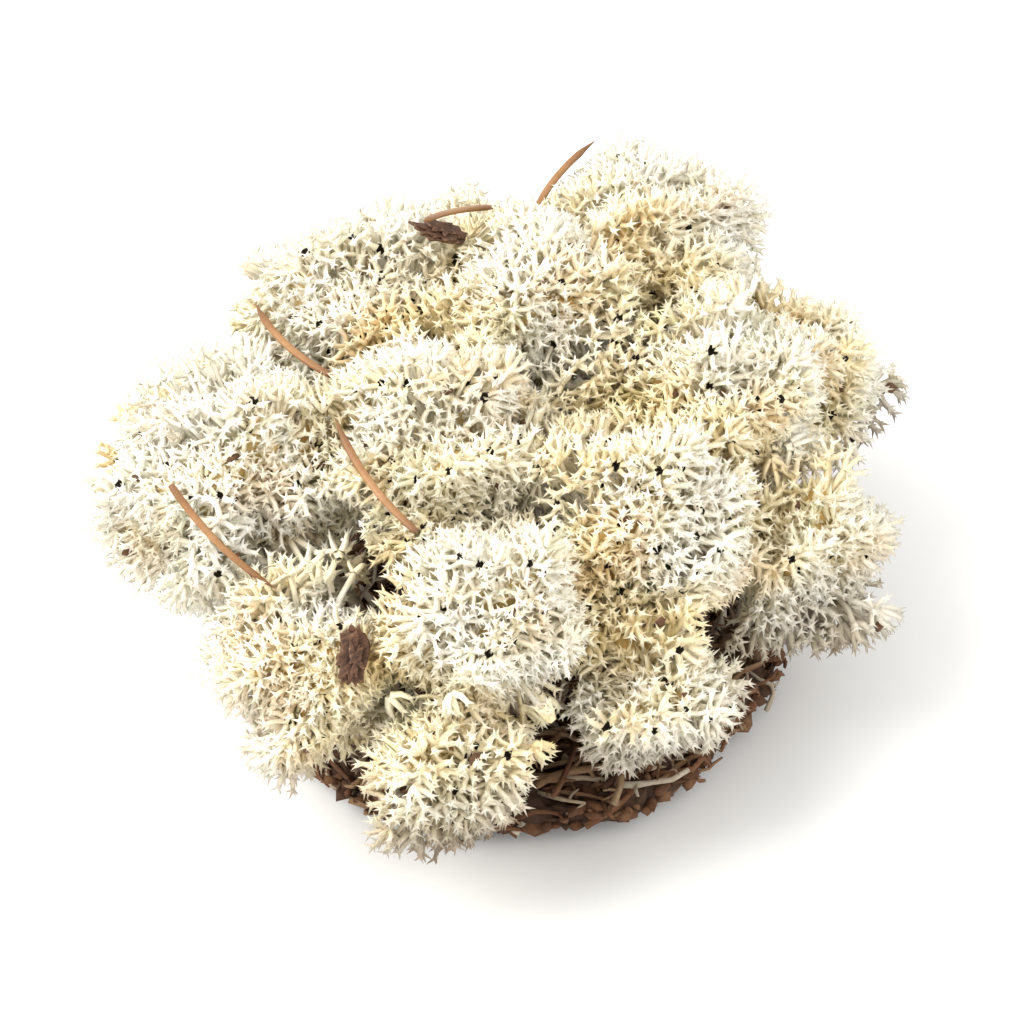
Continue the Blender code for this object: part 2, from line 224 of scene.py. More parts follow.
def even_directions(count: int, cap: float, draw: np.random.RandomState, rounds: int = 30) -> Array:
    """Unit vectors spread evenly, but in no pattern, over a cap round +Z.

    Args:
        count: How many.
        cap: Angle from +Z to the cap's edge.
        draw: Source of random numbers.
        rounds: Times that the vectors push each other apart.

    Returns:
        Unit vectors, (count, 3).
    """
    share = (np.arange(count) + 0.5) / count
    height = 1 - share * (1 - math.cos(cap))
    turn = np.arange(count) * GOLDEN_ANGLE
    ring = np.sqrt(np.maximum(0, 1 - height**2))
    found = np.stack([ring * np.cos(turn), ring * np.sin(turn), height], axis=1)
    spacing = math.sqrt(2 * math.pi * (1 - math.cos(cap)) / count)
    found = unit(found + draw.normal(0, 0.4 * spacing, found.shape))
    for _ in range(rounds):
        step = found[:, None] - found[None]
        apart = np.linalg.norm(step, axis=2)
        push = np.exp(-((apart / spacing) ** 2) * 1.5) / np.maximum(apart, 1e-6)
        np.fill_diagonal(push, 0)
        found = unit(found + (step * push[..., None]).sum(axis=1) * spacing * 0.16)
        low = found[:, 2] < math.cos(cap)
        flat = unit(found[low, :2]) * math.sin(cap)
        found[low] = np.concatenate([flat, np.full((low.sum(), 1), math.cos(cap))], axis=1)
    return found


# Mesh building


@dataclass
class Surface:
    """Triangles of one piece in millimetres, with the values that its finish reads at each point."""

    points: list = field(default_factory=list)
    faces: list = field(default_factory=list)
    values: dict = field(default_factory=lambda: {shade: [] for shade in Shade})
    count: int = 0

    def add(self, points: Array, faces: Array, values: dict) -> None:
        """Adds points and the triangles between them.

        Args:
            points: Points, (n, 3).
            faces: Point numbers of the triangles, (m, 3).
            values: A number or an (n,) array for each shade that isn't zero.
        """
        self.points.append(points)
        self.faces.append(faces + self.count)
        for shade, found in self.values.items():
            found.append(np.broadcast_to(values.get(shade, 0.0), (len(points),)))
        self.count += len(points)

    def join(self, faces: Array) -> None:
        """Adds triangles between points that are already there, by their numbers in the whole piece."""
        self.faces.append(faces)

    def add_copies(self, points: Array, faces: Array, values: dict) -> None:
        """Adds meshes that all have the same triangles.

        Args:
            points: Points of each mesh, (n, m, 3).
            faces: Point numbers of one mesh's triangles, (k, 3).
            values: A number or an (n * m,) array for each shade that isn't zero.
        """
        starts = np.arange(len(points))[:, None, None] * points.shape[1]
        self.add(points.reshape(-1, 3), (faces[None] + starts).reshape(-1, 3), values)

    def add_tubes(self, paths: Array, radii: Array, sides: int, values: dict, rooted: bool = True) -> None:
        """Adds tapered tubes, each with a pointed end.

        Args:
            paths: Points along the tubes, (n, steps, 3).
            radii: Radius at each of them, (n, steps).
            sides: Sides of a tube.
            values: A number, an (n,) or an (n, steps) array for each shade.
            rooted: Whether their starts are sunk in something, so that they need no face there.
        """
        count, steps = paths.shape[:2]
        radii = np.broadcast_to(radii, (count, steps))
        ahead = unit(np.gradient(paths, axis=1))
        side = across(ahead[:, 0])
        rings = np.empty((count, steps, sides, 3))
        for step in range(steps):
            along = ahead[:, step]
            side = unit(side - along * (side * along).sum(axis=1, keepdims=True))
            ring = rings_round(side, np.cross(along, side), sides)
            rings[:, step] = paths[:, step, None] + ring * radii[:, step, None, None]
        tips = paths[:, -1] + ahead[:, -1] * radii[:, -1:] * TUBE_POINT
        points = np.concatenate([rings.reshape(count, steps * sides, 3), tips[:, None]], axis=1)
        values = spread_values(values, count, steps, sides)
        self.add_copies(points, tube_faces(steps, sides, rooted), values)

    def add_spurs(self, roots: Array, directions: Array, lengths: Array, radius: float,
                  values: dict) -> None:
        """Adds three-sided spurs.

        Args:
            roots: Middle of each spur's root, (n, 3).
            directions: Unit vectors along the spurs, (n, 3).
            lengths: Length of each spur, (n,).
            radius: Radius at the root.
            values: A number or an (n,) array for each shade.
        """
        sunk = (roots - directions * radius * 0.5)[:, None]
        side = across(directions)
        ring = rings_round(side, np.cross(directions, side), 3)
        tips = (roots + directions * lengths[:, None])[:, None]
        points = np.concatenate([sunk + ring * radius, tips], axis=1)
        self.add_copies(points, tube_faces(1, 3), spread_values(values, len(roots), 1, 3))

    def piece(self, name: str, material: bpy.types.Material) -> bpy.types.Object:
        """Makes the object.

        Args:
            name: The piece's name.
            material: Its finish.

        Returns:
            A smooth-shaded object in metres.
        """
        points = np.concatenate(self.points) * MM
        faces = np.concatenate(self.faces).astype(np.int32)
        mesh = bpy.data.meshes.new(name)
        mesh.vertices.add(len(points))
        mesh.vertices.foreach_set("co", points.astype(np.float32).ravel())
        mesh.loops.add(faces.size)
        mesh.loops.foreach_set("vertex_index", faces.ravel())
        mesh.polygons.add(len(faces))
        mesh.polygons.foreach_set("loop_start", np.arange(0, faces.size, 3, dtype=np.int32))
        mesh.update(calc_edges=True)
        for shade, found in self.values.items():
            layer = mesh.attributes.new(shade.value, "FLOAT", "POINT")
            layer.data.foreach_set("value", np.concatenate(found).astype(np.float32))
        mesh.shade_smooth()
        mesh.materials.append(material)
        made = bpy.data.objects.new(name, mesh)
        bpy.context.scene.collection.objects.link(made)
        return made


def tube_faces(steps: int, sides: int, rooted: bool = True) -> Array:
    """Triangles of a tube with a pointed end.

    Args:
        steps: Rings of the tube.
        sides: Points of a ring.
        rooted: Whether its start is left open.

    Returns:
        Point numbers, (m, 3), where the rings' points come first and then the tip.
    """
    tip = steps * sides
    rows = []
    for k in range(sides):
        after = (k + 1) % sides
        for step in range(steps - 1):
            near = step * sides
            far = near + sides
            rows += [(near + k, near + after, far + after), (near + k, far + after, far + k)]
        rows.append((tip - sides + k, tip - sides + after, tip))
    if not rooted:
        rows += [(0, k + 1, k) for k in range(1, sides - 1)]
    return np.array(rows)


def disc_faces(rings: int, segments: int) -> Array:
    """Triangles of a disc.

    Args:
        rings: Rings of points round its middle.
        segments: Points of a ring.

    Returns:
        Point numbers, (m, 3), for a middle point and then the rings, from the inside out.
    """
    rows = []
    for k in range(segments):
        after = (k + 1) % segments
        rows.append((0, 1 + k, 1 + after))
        for ring in range(rings - 1):
            near = 1 + ring * segments
            far = near + segments
            rows += [(near + k, far + k, far + after), (near + k, far + after, near + after)]
    return np.array(rows)


def rim_faces(low: int, high: int, segments: int) -> Array:
    """Triangles between two rings of points.

    Args:
        low: Number of the lower ring's first point.
        high: Number of the upper ring's first point.
        segments: Points of a ring.

    Returns:
        Point numbers, (m, 3).
    """
    here = np.arange(segments)
    after = (here + 1) % segments
    pairs = [low + here, low + after, high + after, low + here, high + after, high + here]
    return np.stack(pairs, axis=1).reshape(-1, 3)


def spread_values(values: dict, count: int, steps: int, sides: int) -> dict:
    """Values of tubes handed out to the points of their rings and tips.

    Args:
        values: A number, an (n,) or an (n, steps) array for each shade.
        count: How many tubes.
        steps: Rings of a tube.
        sides: Points of a ring.

    Returns:
        A number or an array over all points for each shade.
    """
    found = {}
    for shade, value in values.items():
        value = np.asarray(value, dtype=float)
        if value.ndim == 0:
            found[shade] = value
            continue
        if value.ndim == 1:
            value = np.broadcast_to(value[:, None], (count, steps))
        rings = np.repeat(value, sides, axis=1)
        found[shade] = np.concatenate([rings, value[:, -1:]], axis=1).ravel()
    return found


def ball_directions(fineness: int) -> tuple:
    """Corners and triangles of an even ball.

    Args:
        fineness: Subdivisions of the ball.

    Returns:
        Unit vectors, (n, 3), and point numbers, (m, 3).
    """
    made = bmesh.new()
    bmesh.ops.create_icosphere(made, subdivisions=fineness, radius=1.0)
    points = np.array([vert.co[:] for vert in made.verts])
    faces = np.array([[vert.index for vert in face.verts] for face in made.faces])
    made.free()
    return unit(points), faces


def rough(points: Array, scale: float, octaves: int = 3) -> Array:
    """Noise at points.

    Args:
        points: Points in millimetres, (n, 3).
        scale: Size of the noise's lumps in millimetres.
        octaves: Layers of finer noise.

    Returns:
        About -1 to 1 at each point, (n,).
    """
    return np.array([noise.fractal(Vector(point) / scale, 1.0, 2.0, octaves) for point in points])


# Shader building


class Value:
    """A number or colour that varies over a surface. Sums on it add the nodes that work them out."""

    def __init__(self, graph: "ShaderGraph", socket: bpy.types.NodeSocket) -> None:
        """Wraps the output socket of a node in a graph."""
        self.graph = graph
        self.socket = socket

    def _sum(self, operation: str, first: object, second: object) -> "Value":
        """Adds one Math node.

        Args:
            operation: The node's operation.
            first: A value or number.
            second: A value or number.

        Returns:
            The node's result.
        """
        return self.graph.node("ShaderNodeMath", {"operation": operation}, {0: first, 1: second})

    def __add__(self, other: object) -> "Value":
        """This plus another."""
        return self._sum("ADD", self, other)

    def __radd__(self, other: object) -> "Value":
        """Another plus this."""
        return self._sum("ADD", other, self)

    def __sub__(self, other: object) -> "Value":
        """This less another."""
        return self._sum("SUBTRACT", self, other)

    def __rsub__(self, other: object) -> "Value":
        """Another less this."""
        return self._sum("SUBTRACT", other, self)

    def __mul__(self, other: object) -> "Value":
        """This times another."""
        return self._sum("MULTIPLY", self, other)

    def __truediv__(self, other: object) -> "Value":
        """This divided by another."""
        return self._sum("DIVIDE", self, other)

    def ranged(self, low: float, high: float) -> "Value":
        """This value as a smooth share of the way from low to high.

        Args:
            low: Where the share is 0.
            high: Where the share is 1.

        Returns:
            A value between 0 and 1.
        """
        settings = {"interpolation_type": "SMOOTHSTEP"}
        return self.graph.node("ShaderNodeMapRange", settings, {0: self, 1: low, 2: high, 3: 0.0, 4: 1.0})


class ShaderGraph:
    """A material under construction."""

    def __init__(self, name: str) -> None:
        """Starts an empty material.

        Args:
            name: The material's name.
        """
        self.material = bpy.data.materials.new(name)
        self.material.use_nodes = True
        self.tree = self.material.node_tree
        self.tree.nodes.clear()

    def node(self, kind: str, settings: dict, inputs: dict, output: object = 0) -> Value:
        """Adds a node.

        Args:
            kind: The node's type.
            settings: Properties set first. The entry stops sets a ramp's (place, colour) pairs.
            inputs: A value, number, colour or vector for each socket name or number.
            output: Name or number of the socket that is used.

        Returns:
            The chosen output.
        """
        made = self.tree.nodes.new(kind)
        for name, setting in settings.items():
            if name == "stops":
                self._set_stops(made.color_ramp, setting)
            else:
                setattr(made, name, setting)
        for name, given in inputs.items():
            if isinstance(given, Value):
                self.tree.links.new(given.socket, made.inputs[name])
            else:
                made.inputs[name].default_value = given
        return Value(self, made.outputs[output])

    @staticmethod
    def _set_stops(ramp: bpy.types.ColorRamp, stops: tuple) -> None:
        """Sets the stops of a colour ramp.

        Args:
            ramp: The ramp.
            stops: Pairs of place and colour.
        """
        while len(ramp.elements) < len(stops):
            ramp.elements.new(1.0)
        for element, (place, colour) in zip(ramp.elements, stops):
            element.position = place
            element.color = (*colour, 1.0)

    def attribute(self, shade: Shade) -> Value:
        """The value that a surface carries for a shade."""
        return self.node("ShaderNodeAttribute", {"attribute_name": shade.value}, {}, "Fac")

    def place(self) -> Value:
        """The point's place in metres."""
        return self.node("ShaderNodeTexCoord", {}, {}, "Object")

    def noise(self, size: float, detail: float = 3.0, roughness: float = 0.55,
              vector: object = None) -> Value:
        """Soft noise over the surface.

        Args:
            size: Size of its lumps in millimetres.
            detail: Layers of finer noise.
            roughness: Strength of the finer layers.
            vector: Where it is read, or None for the point's place.

        Returns:
            A value about 0.5.
        """
        return self.node("ShaderNodeTexNoise", {}, {
            "Vector": vector or self.place(),
            "Scale": 1 / (size * MM),
            "Detail": detail,
            "Roughness": roughness,
        })

    def ramp(self, factor: Value, stops: tuple) -> Value:
        """Colours along a factor.

        Args:
            factor: A value from 0 to 1.
            stops: Pairs of place and colour.

        Returns:
            The colour.
        """
        return self.node("ShaderNodeValToRGB", {"stops": stops}, {0: factor})

    def mix(self, factor: object, first: object, second: object, blend: str = "MIX") -> Value:
        """One colour over another.

        Args:
            factor: How much of the second.
            first: A colour or its socket.
            second: A colour or its socket.
            blend: The way in which they mix.

        Returns:
            The mixed colour.
        """
        first, second = (given if isinstance(given, Value) else (*given, 1.0) for given in (first, second))
        settings = {"data_type": "RGBA", "blend_type": blend}
        return self.node("ShaderNodeMix", settings, {0: factor, 6: first, 7: second}, 2)

    def scaled(self, vector: Value, factors: tuple) -> Value:
        """A vector times another, number by number."""
        return self.node("ShaderNodeVectorMath", {"operation": "MULTIPLY"}, {0: vector, 1: factors})

    def bump(self, height: Value, distance: float, strength: float = 1.0) -> Value:
        """A bumped normal.

        Args:
            height: The relief, about 0 to 1.
            distance: The relief's height in millimetres.
            strength: How much of it shows.

        Returns:
            The normal.
        """
        inputs = {"Strength": strength, "Distance": distance * MM, "Height": height}
        return self.node("ShaderNodeBump", {}, inputs, "Normal")

    def close(self, inputs: dict) -> bpy.types.Material:
        """Adds the surface shader and the output.

        Args:
            inputs: Values of the surface shader's sockets.

        Returns:
            The finished material.
        """
        shader = self.node("ShaderNodeBsdfPrincipled", {}, inputs)
        made = self.tree.nodes.new("ShaderNodeOutputMaterial")
        self.tree.links.new(shader.socket, made.inputs["Surface"])
        return self.material


# Finishes


@dataclass(frozen=True)
class LichenFinish:
    """Matt cream lichen: bright tips, tan and brown deeper in (partly its own older branches, partly painted
    shade), brown at the foot, near-black painted shade in its open pits.
    """

    # Colours by depth under the cushion. Deeper is darker and browner: partly the lichen's own older inner
    # branches, partly painted shade. The stop at 0.12 is paler than the tips, painted light that lifts the
    # shaded gaps between prongs, and the tips are painted a little duller against their stronger light.
    depths: tuple = (
        (0.0, (0.93, 0.91, 0.83)),
        (0.12, (0.96, 0.93, 0.82)),
        (0.26, (0.95, 0.885, 0.69)),
        (0.44, (0.88, 0.76, 0.47)),
        (0.66, (0.66, 0.49, 0.22)),
        (1.0, (0.24, 0.145, 0.05)),
    )
    deepest: float = 9.0
    warm: tuple = (0.86, 0.66, 0.44)
    olive: tuple = (0.62, 0.64, 0.38)
    foot: tuple = (0.125, 0.064, 0.03)
    grey: tuple = (0.42, 0.35, 0.24)
    # Near-black painted shade in the pits of the open whorls
    pit_shade: tuple = (0.018, 0.013, 0.008)
    debris: tuple = (0.12, 0.065, 0.038)
    foot_heights: tuple = (7.0, 20.0)
    grey_heights: tuple = (12.0, 25.0)
    foot_share: float = 0.97
    grey_share: float = 0.6
    warm_share: float = 0.4
    olive_share: float = 0.38
    # Multiplied in by the tint: a random darker tone of the branches, and painted shade on the core, whose
    # tint is 1
    worn: tuple = (0.82, 0.74, 0.58)
    dusty: tuple = (0.6, 0.52, 0.4)
    patch_size: float = 8.0
    felt_size: float = 0.22
    felt_height: float = 0.05

    def build(self) -> bpy.types.Material:
        """Makes the material.

        Returns:
            The material.
        """
        graph = ShaderGraph("lichen_felt")
        depth = graph.attribute(Shade.DEPTH)
        tint = graph.attribute(Shade.TINT)
        patches = graph.noise(self.patch_size, 2.0)
        patch_vector = graph.scaled(graph.place(), (1.0, -1.0, 1.3))
        other_patches = graph.noise(self.patch_size * 0.8, 2.0, vector=patch_vector)
        felt = graph.noise(self.felt_size, 2.0, 0.6)
        # Deeper is darker and browner: partly the lichen's own colour, partly painted shade
        uneven = depth + (patches - 0.5) * 1.6
        colour = graph.ramp(uneven / self.deepest, self.depths)
        warmed = patches.ranged(0.5, 0.72) * self.warm_share
        colour = graph.mix(warmed, colour, self.warm, "MULTIPLY")
        greened = other_patches.ranged(0.52, 0.75) * self.olive_share
        colour = graph.mix(greened, colour, self.olive, "MULTIPLY")
        height = graph.node("ShaderNodeSeparateXYZ", {}, {0: graph.place()}, "Z") / MM
        colour = graph.mix((1 - height.ranged(*self.grey_heights)) * self.grey_share, colour, self.grey)
        colour = graph.mix((1 - height.ranged(*self.foot_heights)) * self.foot_share, colour, self.foot)
        # Random darker tone, and painted shade on the core
        colour = graph.mix(tint, colour, self.worn, "MULTIPLY")
        colour = graph.mix(felt.ranged(0.35, 0.75) * 0.1, colour, self.dusty, "MULTIPLY")
        # Near-black painted shade in the pits of the open whorls
        colour = graph.mix(graph.attribute(Shade.PIT_SHADE), colour, self.pit_shade)
        colour = graph.mix(graph.attribute(Shade.DEBRIS), colour, self.debris)
        return graph.close({
            "Base Color": colour,
            "Roughness": 0.82 + felt * 0.16,
            "Normal": graph.bump(felt, self.felt_height, 0.6),
            "Specular IOR Level": 0.15,
            "Sheen Weight": 0.03,
            "Sheen Roughness": 0.6,
        })


@dataclass(frozen=True)
class LitterFinish:
    """Damp brown litter: crumbly peat with paler dead stems and reddish scraps."""

    peat: tuple = (0.055, 0.03, 0.018)
    scraps: tuple = (
        (0.0, (0.07, 0.035, 0.02)),
        (0.35, (0.17, 0.075, 0.035)),
        (0.6, (0.27, 0.17, 0.09)),
        (0.82, (0.36, 0.29, 0.2)),
        (1.0, (0.5, 0.45, 0.36)),
    )
    stained: tuple = (0.42, 0.34, 0.28)
    crumb_size: float = 0.6
    stain_size: float = 5.0

    def build(self) -> bpy.types.Material:
        """Makes the material.

        Returns:
            The material.
        """
        graph = ShaderGraph("forest_litter")
        crumbs = graph.noise(self.crumb_size, 4.0, 0.65)
        stains = graph.noise(self.stain_size, 3.0)
        tint = graph.attribute(Shade.TINT)
        colour = graph.ramp(tint + (crumbs - 0.5) * 0.35, self.scraps)
        colour = graph.mix(graph.attribute(Shade.DEPTH), colour, self.peat)
        colour = graph.mix(stains.ranged(0.4, 0.7) * 0.5, colour, self.stained, "MULTIPLY")
        return graph.close({
            "Base Color": colour,
            "Roughness": 0.78 + crumbs * 0.2,
            "Normal": graph.bump(crumbs, 0.18, 0.8),
            "Specular IOR Level": 0.3,
        })


@dataclass(frozen=True)
class NeedleFinish:
    """Dry pine needle: orange-brown, streaked, darker towards its ends and faintly glossy."""

    colours: tuple = (
        (0.0, (0.05, 0.02, 0.01)),
        (0.4, (0.15, 0.066, 0.024)),
        (0.75, (0.29, 0.14, 0.052)),
        (1.0, (0.44, 0.25, 0.115)),
    )
    streak_size: float = 0.35
    band_size: float = 2.2

    def build(self) -> bpy.types.Material:
        """Makes the material.

        Returns:
            The material.
        """
        graph = ShaderGraph("dry_needle")
        tint = graph.attribute(Shade.TINT)
        streaks = graph.noise(self.streak_size, 3.0, 0.7)
        bands = graph.noise(self.band_size, 2.0)
        colour = graph.ramp(tint * 0.55 + streaks * 0.3 + bands * 0.3, self.colours)
        return graph.close({
            "Base Color": colour,
            "Roughness": 0.36 + streaks * 0.3,
            "Normal": graph.bump(streaks, 0.03, 0.5),
            "Specular IOR Level": 0.45,
        })


@dataclass(frozen=True)
class BarkFinish:
    """Papery pine bark: red-brown plates with pale worn edges and dark pores."""

    colours: tuple = (
        (0.0, (0.018, 0.009, 0.006)),
        (0.35, (0.05, 0.024, 0.014)),
        (0.75, (0.13, 0.062, 0.034)),
        (1.0, (0.3, 0.18, 0.11)),
    )
    pore: tuple = (0.25, 0.18, 0.14)
    grain: tuple = (0.35, 1.0, 2.2)
    layer_size: float = 0.55
    pore_size: float = 0.3

    def build(self) -> bpy.types.Material:
        """Makes the material.

        Returns:
            The material.
        """
        graph = ShaderGraph("pine_bark")
        tint = graph.attribute(Shade.TINT)
        stretched = graph.scaled(graph.place(), self.grain)
        layers = graph.noise(self.layer_size, 4.0, 0.7, vector=stretched)
        pores = graph.noise(self.pore_size, 2.0)
        colour = graph.ramp(tint * 0.5 + (layers - 0.5) * 1.7 + 0.3, self.colours)
        colour = graph.mix(pores.ranged(0.6, 0.72) * 0.6, colour, self.pore, "MULTIPLY")
        return graph.close({
            "Base Color": colour,
            "Roughness": 0.66 + layers * 0.25,
            "Normal": graph.bump(layers, 0.12, 0.7),
            "Specular IOR Level": 0.35,
        })


@dataclass(frozen=True)
class FloorFinish:
    """Plain pale studio floor."""

    colour: tuple = (0.86, 0.86, 0.85)
    mottled: tuple = (0.8, 0.8, 0.79)
    mottle_size: float = 40.0

    def build(self) -> bpy.types.Material:
        """Makes the material.

        Returns:
            The material.
        """
        graph = ShaderGraph("studio_floor")
        mottle = graph.noise(self.mottle_size, 2.0)
        colour = graph.mix(mottle * 0.05, self.colour, self.mottled)
        return graph.close({"Base Color": colour, "Roughness": 0.6, "Specular IOR Level": 0.2})


# What has fallen on the clump


def node_points(name: str) -> Array:
    """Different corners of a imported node.

    Args:
        name: The node's name.

    Returns:
        Points in millimetres, (n, 3).
    """
    mesh = bpy.data.objects[name].data
    points = np.empty(len(mesh.vertices) * 3)
    mesh.vertices.foreach_get("co", points)
    return np.unique(np.round(points.reshape(-1, 3) / MM, 3), axis=0)


@dataclass
class Rest:
    """The room that a fallen piece takes up, as a box along its own axes."""

    node: str
    side_room: float = 0.35
    under_room: float = 0.25
    over_room: float = 4.0

    def __post_init__(self) -> None:
        """Reads the box from the piece's solid."""
        points = node_points(self.node)
        self.middle = points.mean(axis=0)
        along, across_it, up = np.linalg.svd(points - self.middle)[2]
        tilt = np.abs((along[2], across_it[2], up[2]))
        if tilt[1] > tilt[2]:
            across_it, up = up, across_it
        up = up if up[2] > 0 else -up
        self.axes = np.stack([along, np.cross(up, along), up])
        own = (points - self.middle) @ self.axes.T
        self.low, self.high = own.min(axis=0), own.max(axis=0)

    def pressed(self, points: Array) -> Array:
        """Points that lie in the room moved to just under it.

        Args:
            points: Points, (..., 3).

        Returns:
            The points, with those in the room moved down.
        """
        own = (points - self.middle) @ self.axes.T
        floor = self.low[2] - self.under_room
        inside = (own[..., 2] > floor) & (own[..., 2] < self.high[2] + self.over_room)
        for k in (0, 1):
            inside &= own[..., k] > self.low[k] - self.side_room
            inside &= own[..., k] < self.high[k] + self.side_room
        drop = np.where(inside, own[..., 2] - floor, 0.0)
        return points - drop[..., None] * self.axes[2]


# Lichen heads


@dataclass
class Envelope:
    """Outer form of one lichen head, which stands where its solid does.

    The same planes part it from its neighbours, but here they swing a little. Its lobes face the same
    ways as the solid's, but they are smaller and further out.
    """

    number: int
    centre: Array
    radius: float
    piece_gap: float = 0.3
    lean_height: float = 32.0
    lean_origin_depth: float = 30.0
    core_share: float = 0.78
    lobe_count: int = 11
    lobe_offset_share: float = 0.64
    lobe_radius_share: float = 0.38
    lobe_variation: float = 0.1
    lowest_lobe_angle: float = math.radians(100)
    foot_height: float = 3.3
    lowest: float = 0.6
    sway_height: float = 0.45
    sway_waves: int = 5
    sway_lengths: tuple = (7, 15)
    rest_reach: float = 10.0

    def __post_init__(self) -> None:
        """Places the stem's foot, the axis and the lobes."""
        draw = random.Random(self.number)
        self.site = self.centre[:2] / self.spread(self.centre[2])
        self.site_radius = self.radius / self.spread(self.centre[2])
        self.foot = np.array((*(self.site * self.spread(self.foot_height)), self.foot_height))
        self.axis = unit(self.centre - self.foot)
        self.side = np.array(Vector(self.axis).orthogonal().normalized())
        self.other_side = np.cross(self.axis, self.side)
        offsets = [np.zeros(3)]
        radii = [self.radius * self.core_share]
        for n in range(self.lobe_count):
            share = (n + 0.4) / self.lobe_count
            angle = math.acos(1 - share * (1 - math.cos(self.lowest_lobe_angle)))
            turn = n * GOLDEN_ANGLE
            outward = self.side * math.cos(turn) + self.other_side * math.sin(turn)
            direction = self.axis * math.cos(angle) + outward * math.sin(angle)
            offsets.append(direction * self.radius * self.lobe_offset_share)
            size = self.lobe_radius_share * (1 + self.lobe_variation * draw.uniform(-1, 1))
            radii.append(self.radius * size)
        self.lobe_offsets = np.array(offsets)
        self.lobe_radii = np.array(radii)
        self.wall_normals = np.zeros((0, 3))
        self.wall_offsets = np.zeros(0)
        self.wall_signs = np.zeros(0)
        self.rests = []
        waves = np.random.RandomState(5)
        lengths = waves.uniform(*self.sway_lengths, self.sway_waves)
        self.wave_vectors = unit(waves.normal(0, 1, (self.sway_waves, 3))) * (math.tau / lengths)[:, None]
        self.wave_starts = waves.uniform(0, math.tau, self.sway_waves)
        self.limits = np.array(((-np.inf,) * 3, (np.inf,) * 3))

    def spread(self, height: float) -> float:
        """How far apart the leaning heads stand at a height, as a share of their spacing at lean_height."""
        return (height + self.lean_origin_depth) / (self.lean_height + self.lean_origin_depth)

    def part_from(self, others: list, rests: list, limits: Array) -> None:
        """Sets the tilted planes that part this head from its neighbours, and what lies on it.

        Args:
            others: The envelopes of all heads.
            rests: The rooms of all fallen pieces.
            limits: Lowest and highest corner of the room for the whole clump, (2, 3).
        """
        self.limits = limits
        away = [np.linalg.norm(rest.middle - self.centre) for rest in rests]
        self.rests = [rest for rest, far in zip(rests, away) if far < self.radius + self.rest_reach]
        normals = []
        offsets = []
        neighbours = [other for other in others if other is not self]
        for other in neighbours:
            step = other.site - self.site
            apart = np.linalg.norm(step)
            shared = (apart**2 + self.site_radius**2 - other.site_radius**2) / (2 * apart)
            place = step @ self.site / apart + shared
            slope = place / (self.lean_height + self.lean_origin_depth)
            normal = np.array((*(step / apart), -slope))
            length = np.linalg.norm(normal)
            normals.append(normal / length)
            offsets.append(slope * self.lean_origin_depth / length - self.piece_gap / 2)
        self.wall_normals = np.array(normals)
        self.wall_offsets = np.array(offsets)
        self.wall_signs = np.array([1.0 if self.number < other.number else -1.0 for other in neighbours])

    def world(self, directions: Array) -> Array:
        """Directions given round +Z, turned so that +Z is the head's axis."""
        return directions @ np.stack([self.side, self.other_side, self.axis])

    def room(self, directions: Array) -> Array:
        """Distance from the crown's centre to the nearest wall.

        Args:
            directions: Unit vectors, (n, 3).

        Returns:
            Distances, (n,).
        """
        along = directions @ self.wall_normals.T
        space = self.wall_offsets - self.wall_normals @ self.centre
        return np.where(along > 1e-6, space / np.maximum(along, 1e-6), np.inf).min(axis=1)

    def sway(self, points: Array) -> Array:
        """How far the walls swing at points, the same way for both heads that share a wall.

        Args:
            points: Points, (..., 3).

        Returns:
            Shifts, (...,), of about a millimetre.
        """
        return np.sin(points @ self.wave_vectors.T + self.wave_starts).sum(axis=-1) * self.sway_height

    def kept_inside(self, points: Array, margin: float, rounds: int = 3) -> Array:
        """Points moved until they are a margin inside every wall, and under what lies on the head.

        Args:
            points: Points, (..., 3).
            margin: The margin.
            rounds: Times that each wall is applied.

        Returns:
            The moved points.
        """
        moved = points.copy()
        for _ in range(rounds):
            sway = self.sway(moved)
            for normal, offset, sign in zip(self.wall_normals, self.wall_offsets, self.wall_signs):
                over = np.maximum(0.0, moved @ normal - (offset + sign * sway - margin))
                moved -= over[..., None] * normal
        for rest in self.rests:
            moved = rest.pressed(moved)
        moved = np.clip(moved, self.limits[0] + margin, self.limits[1] - margin)
        moved[..., 2] = np.maximum(moved[..., 2], self.lowest + margin)
        return moved


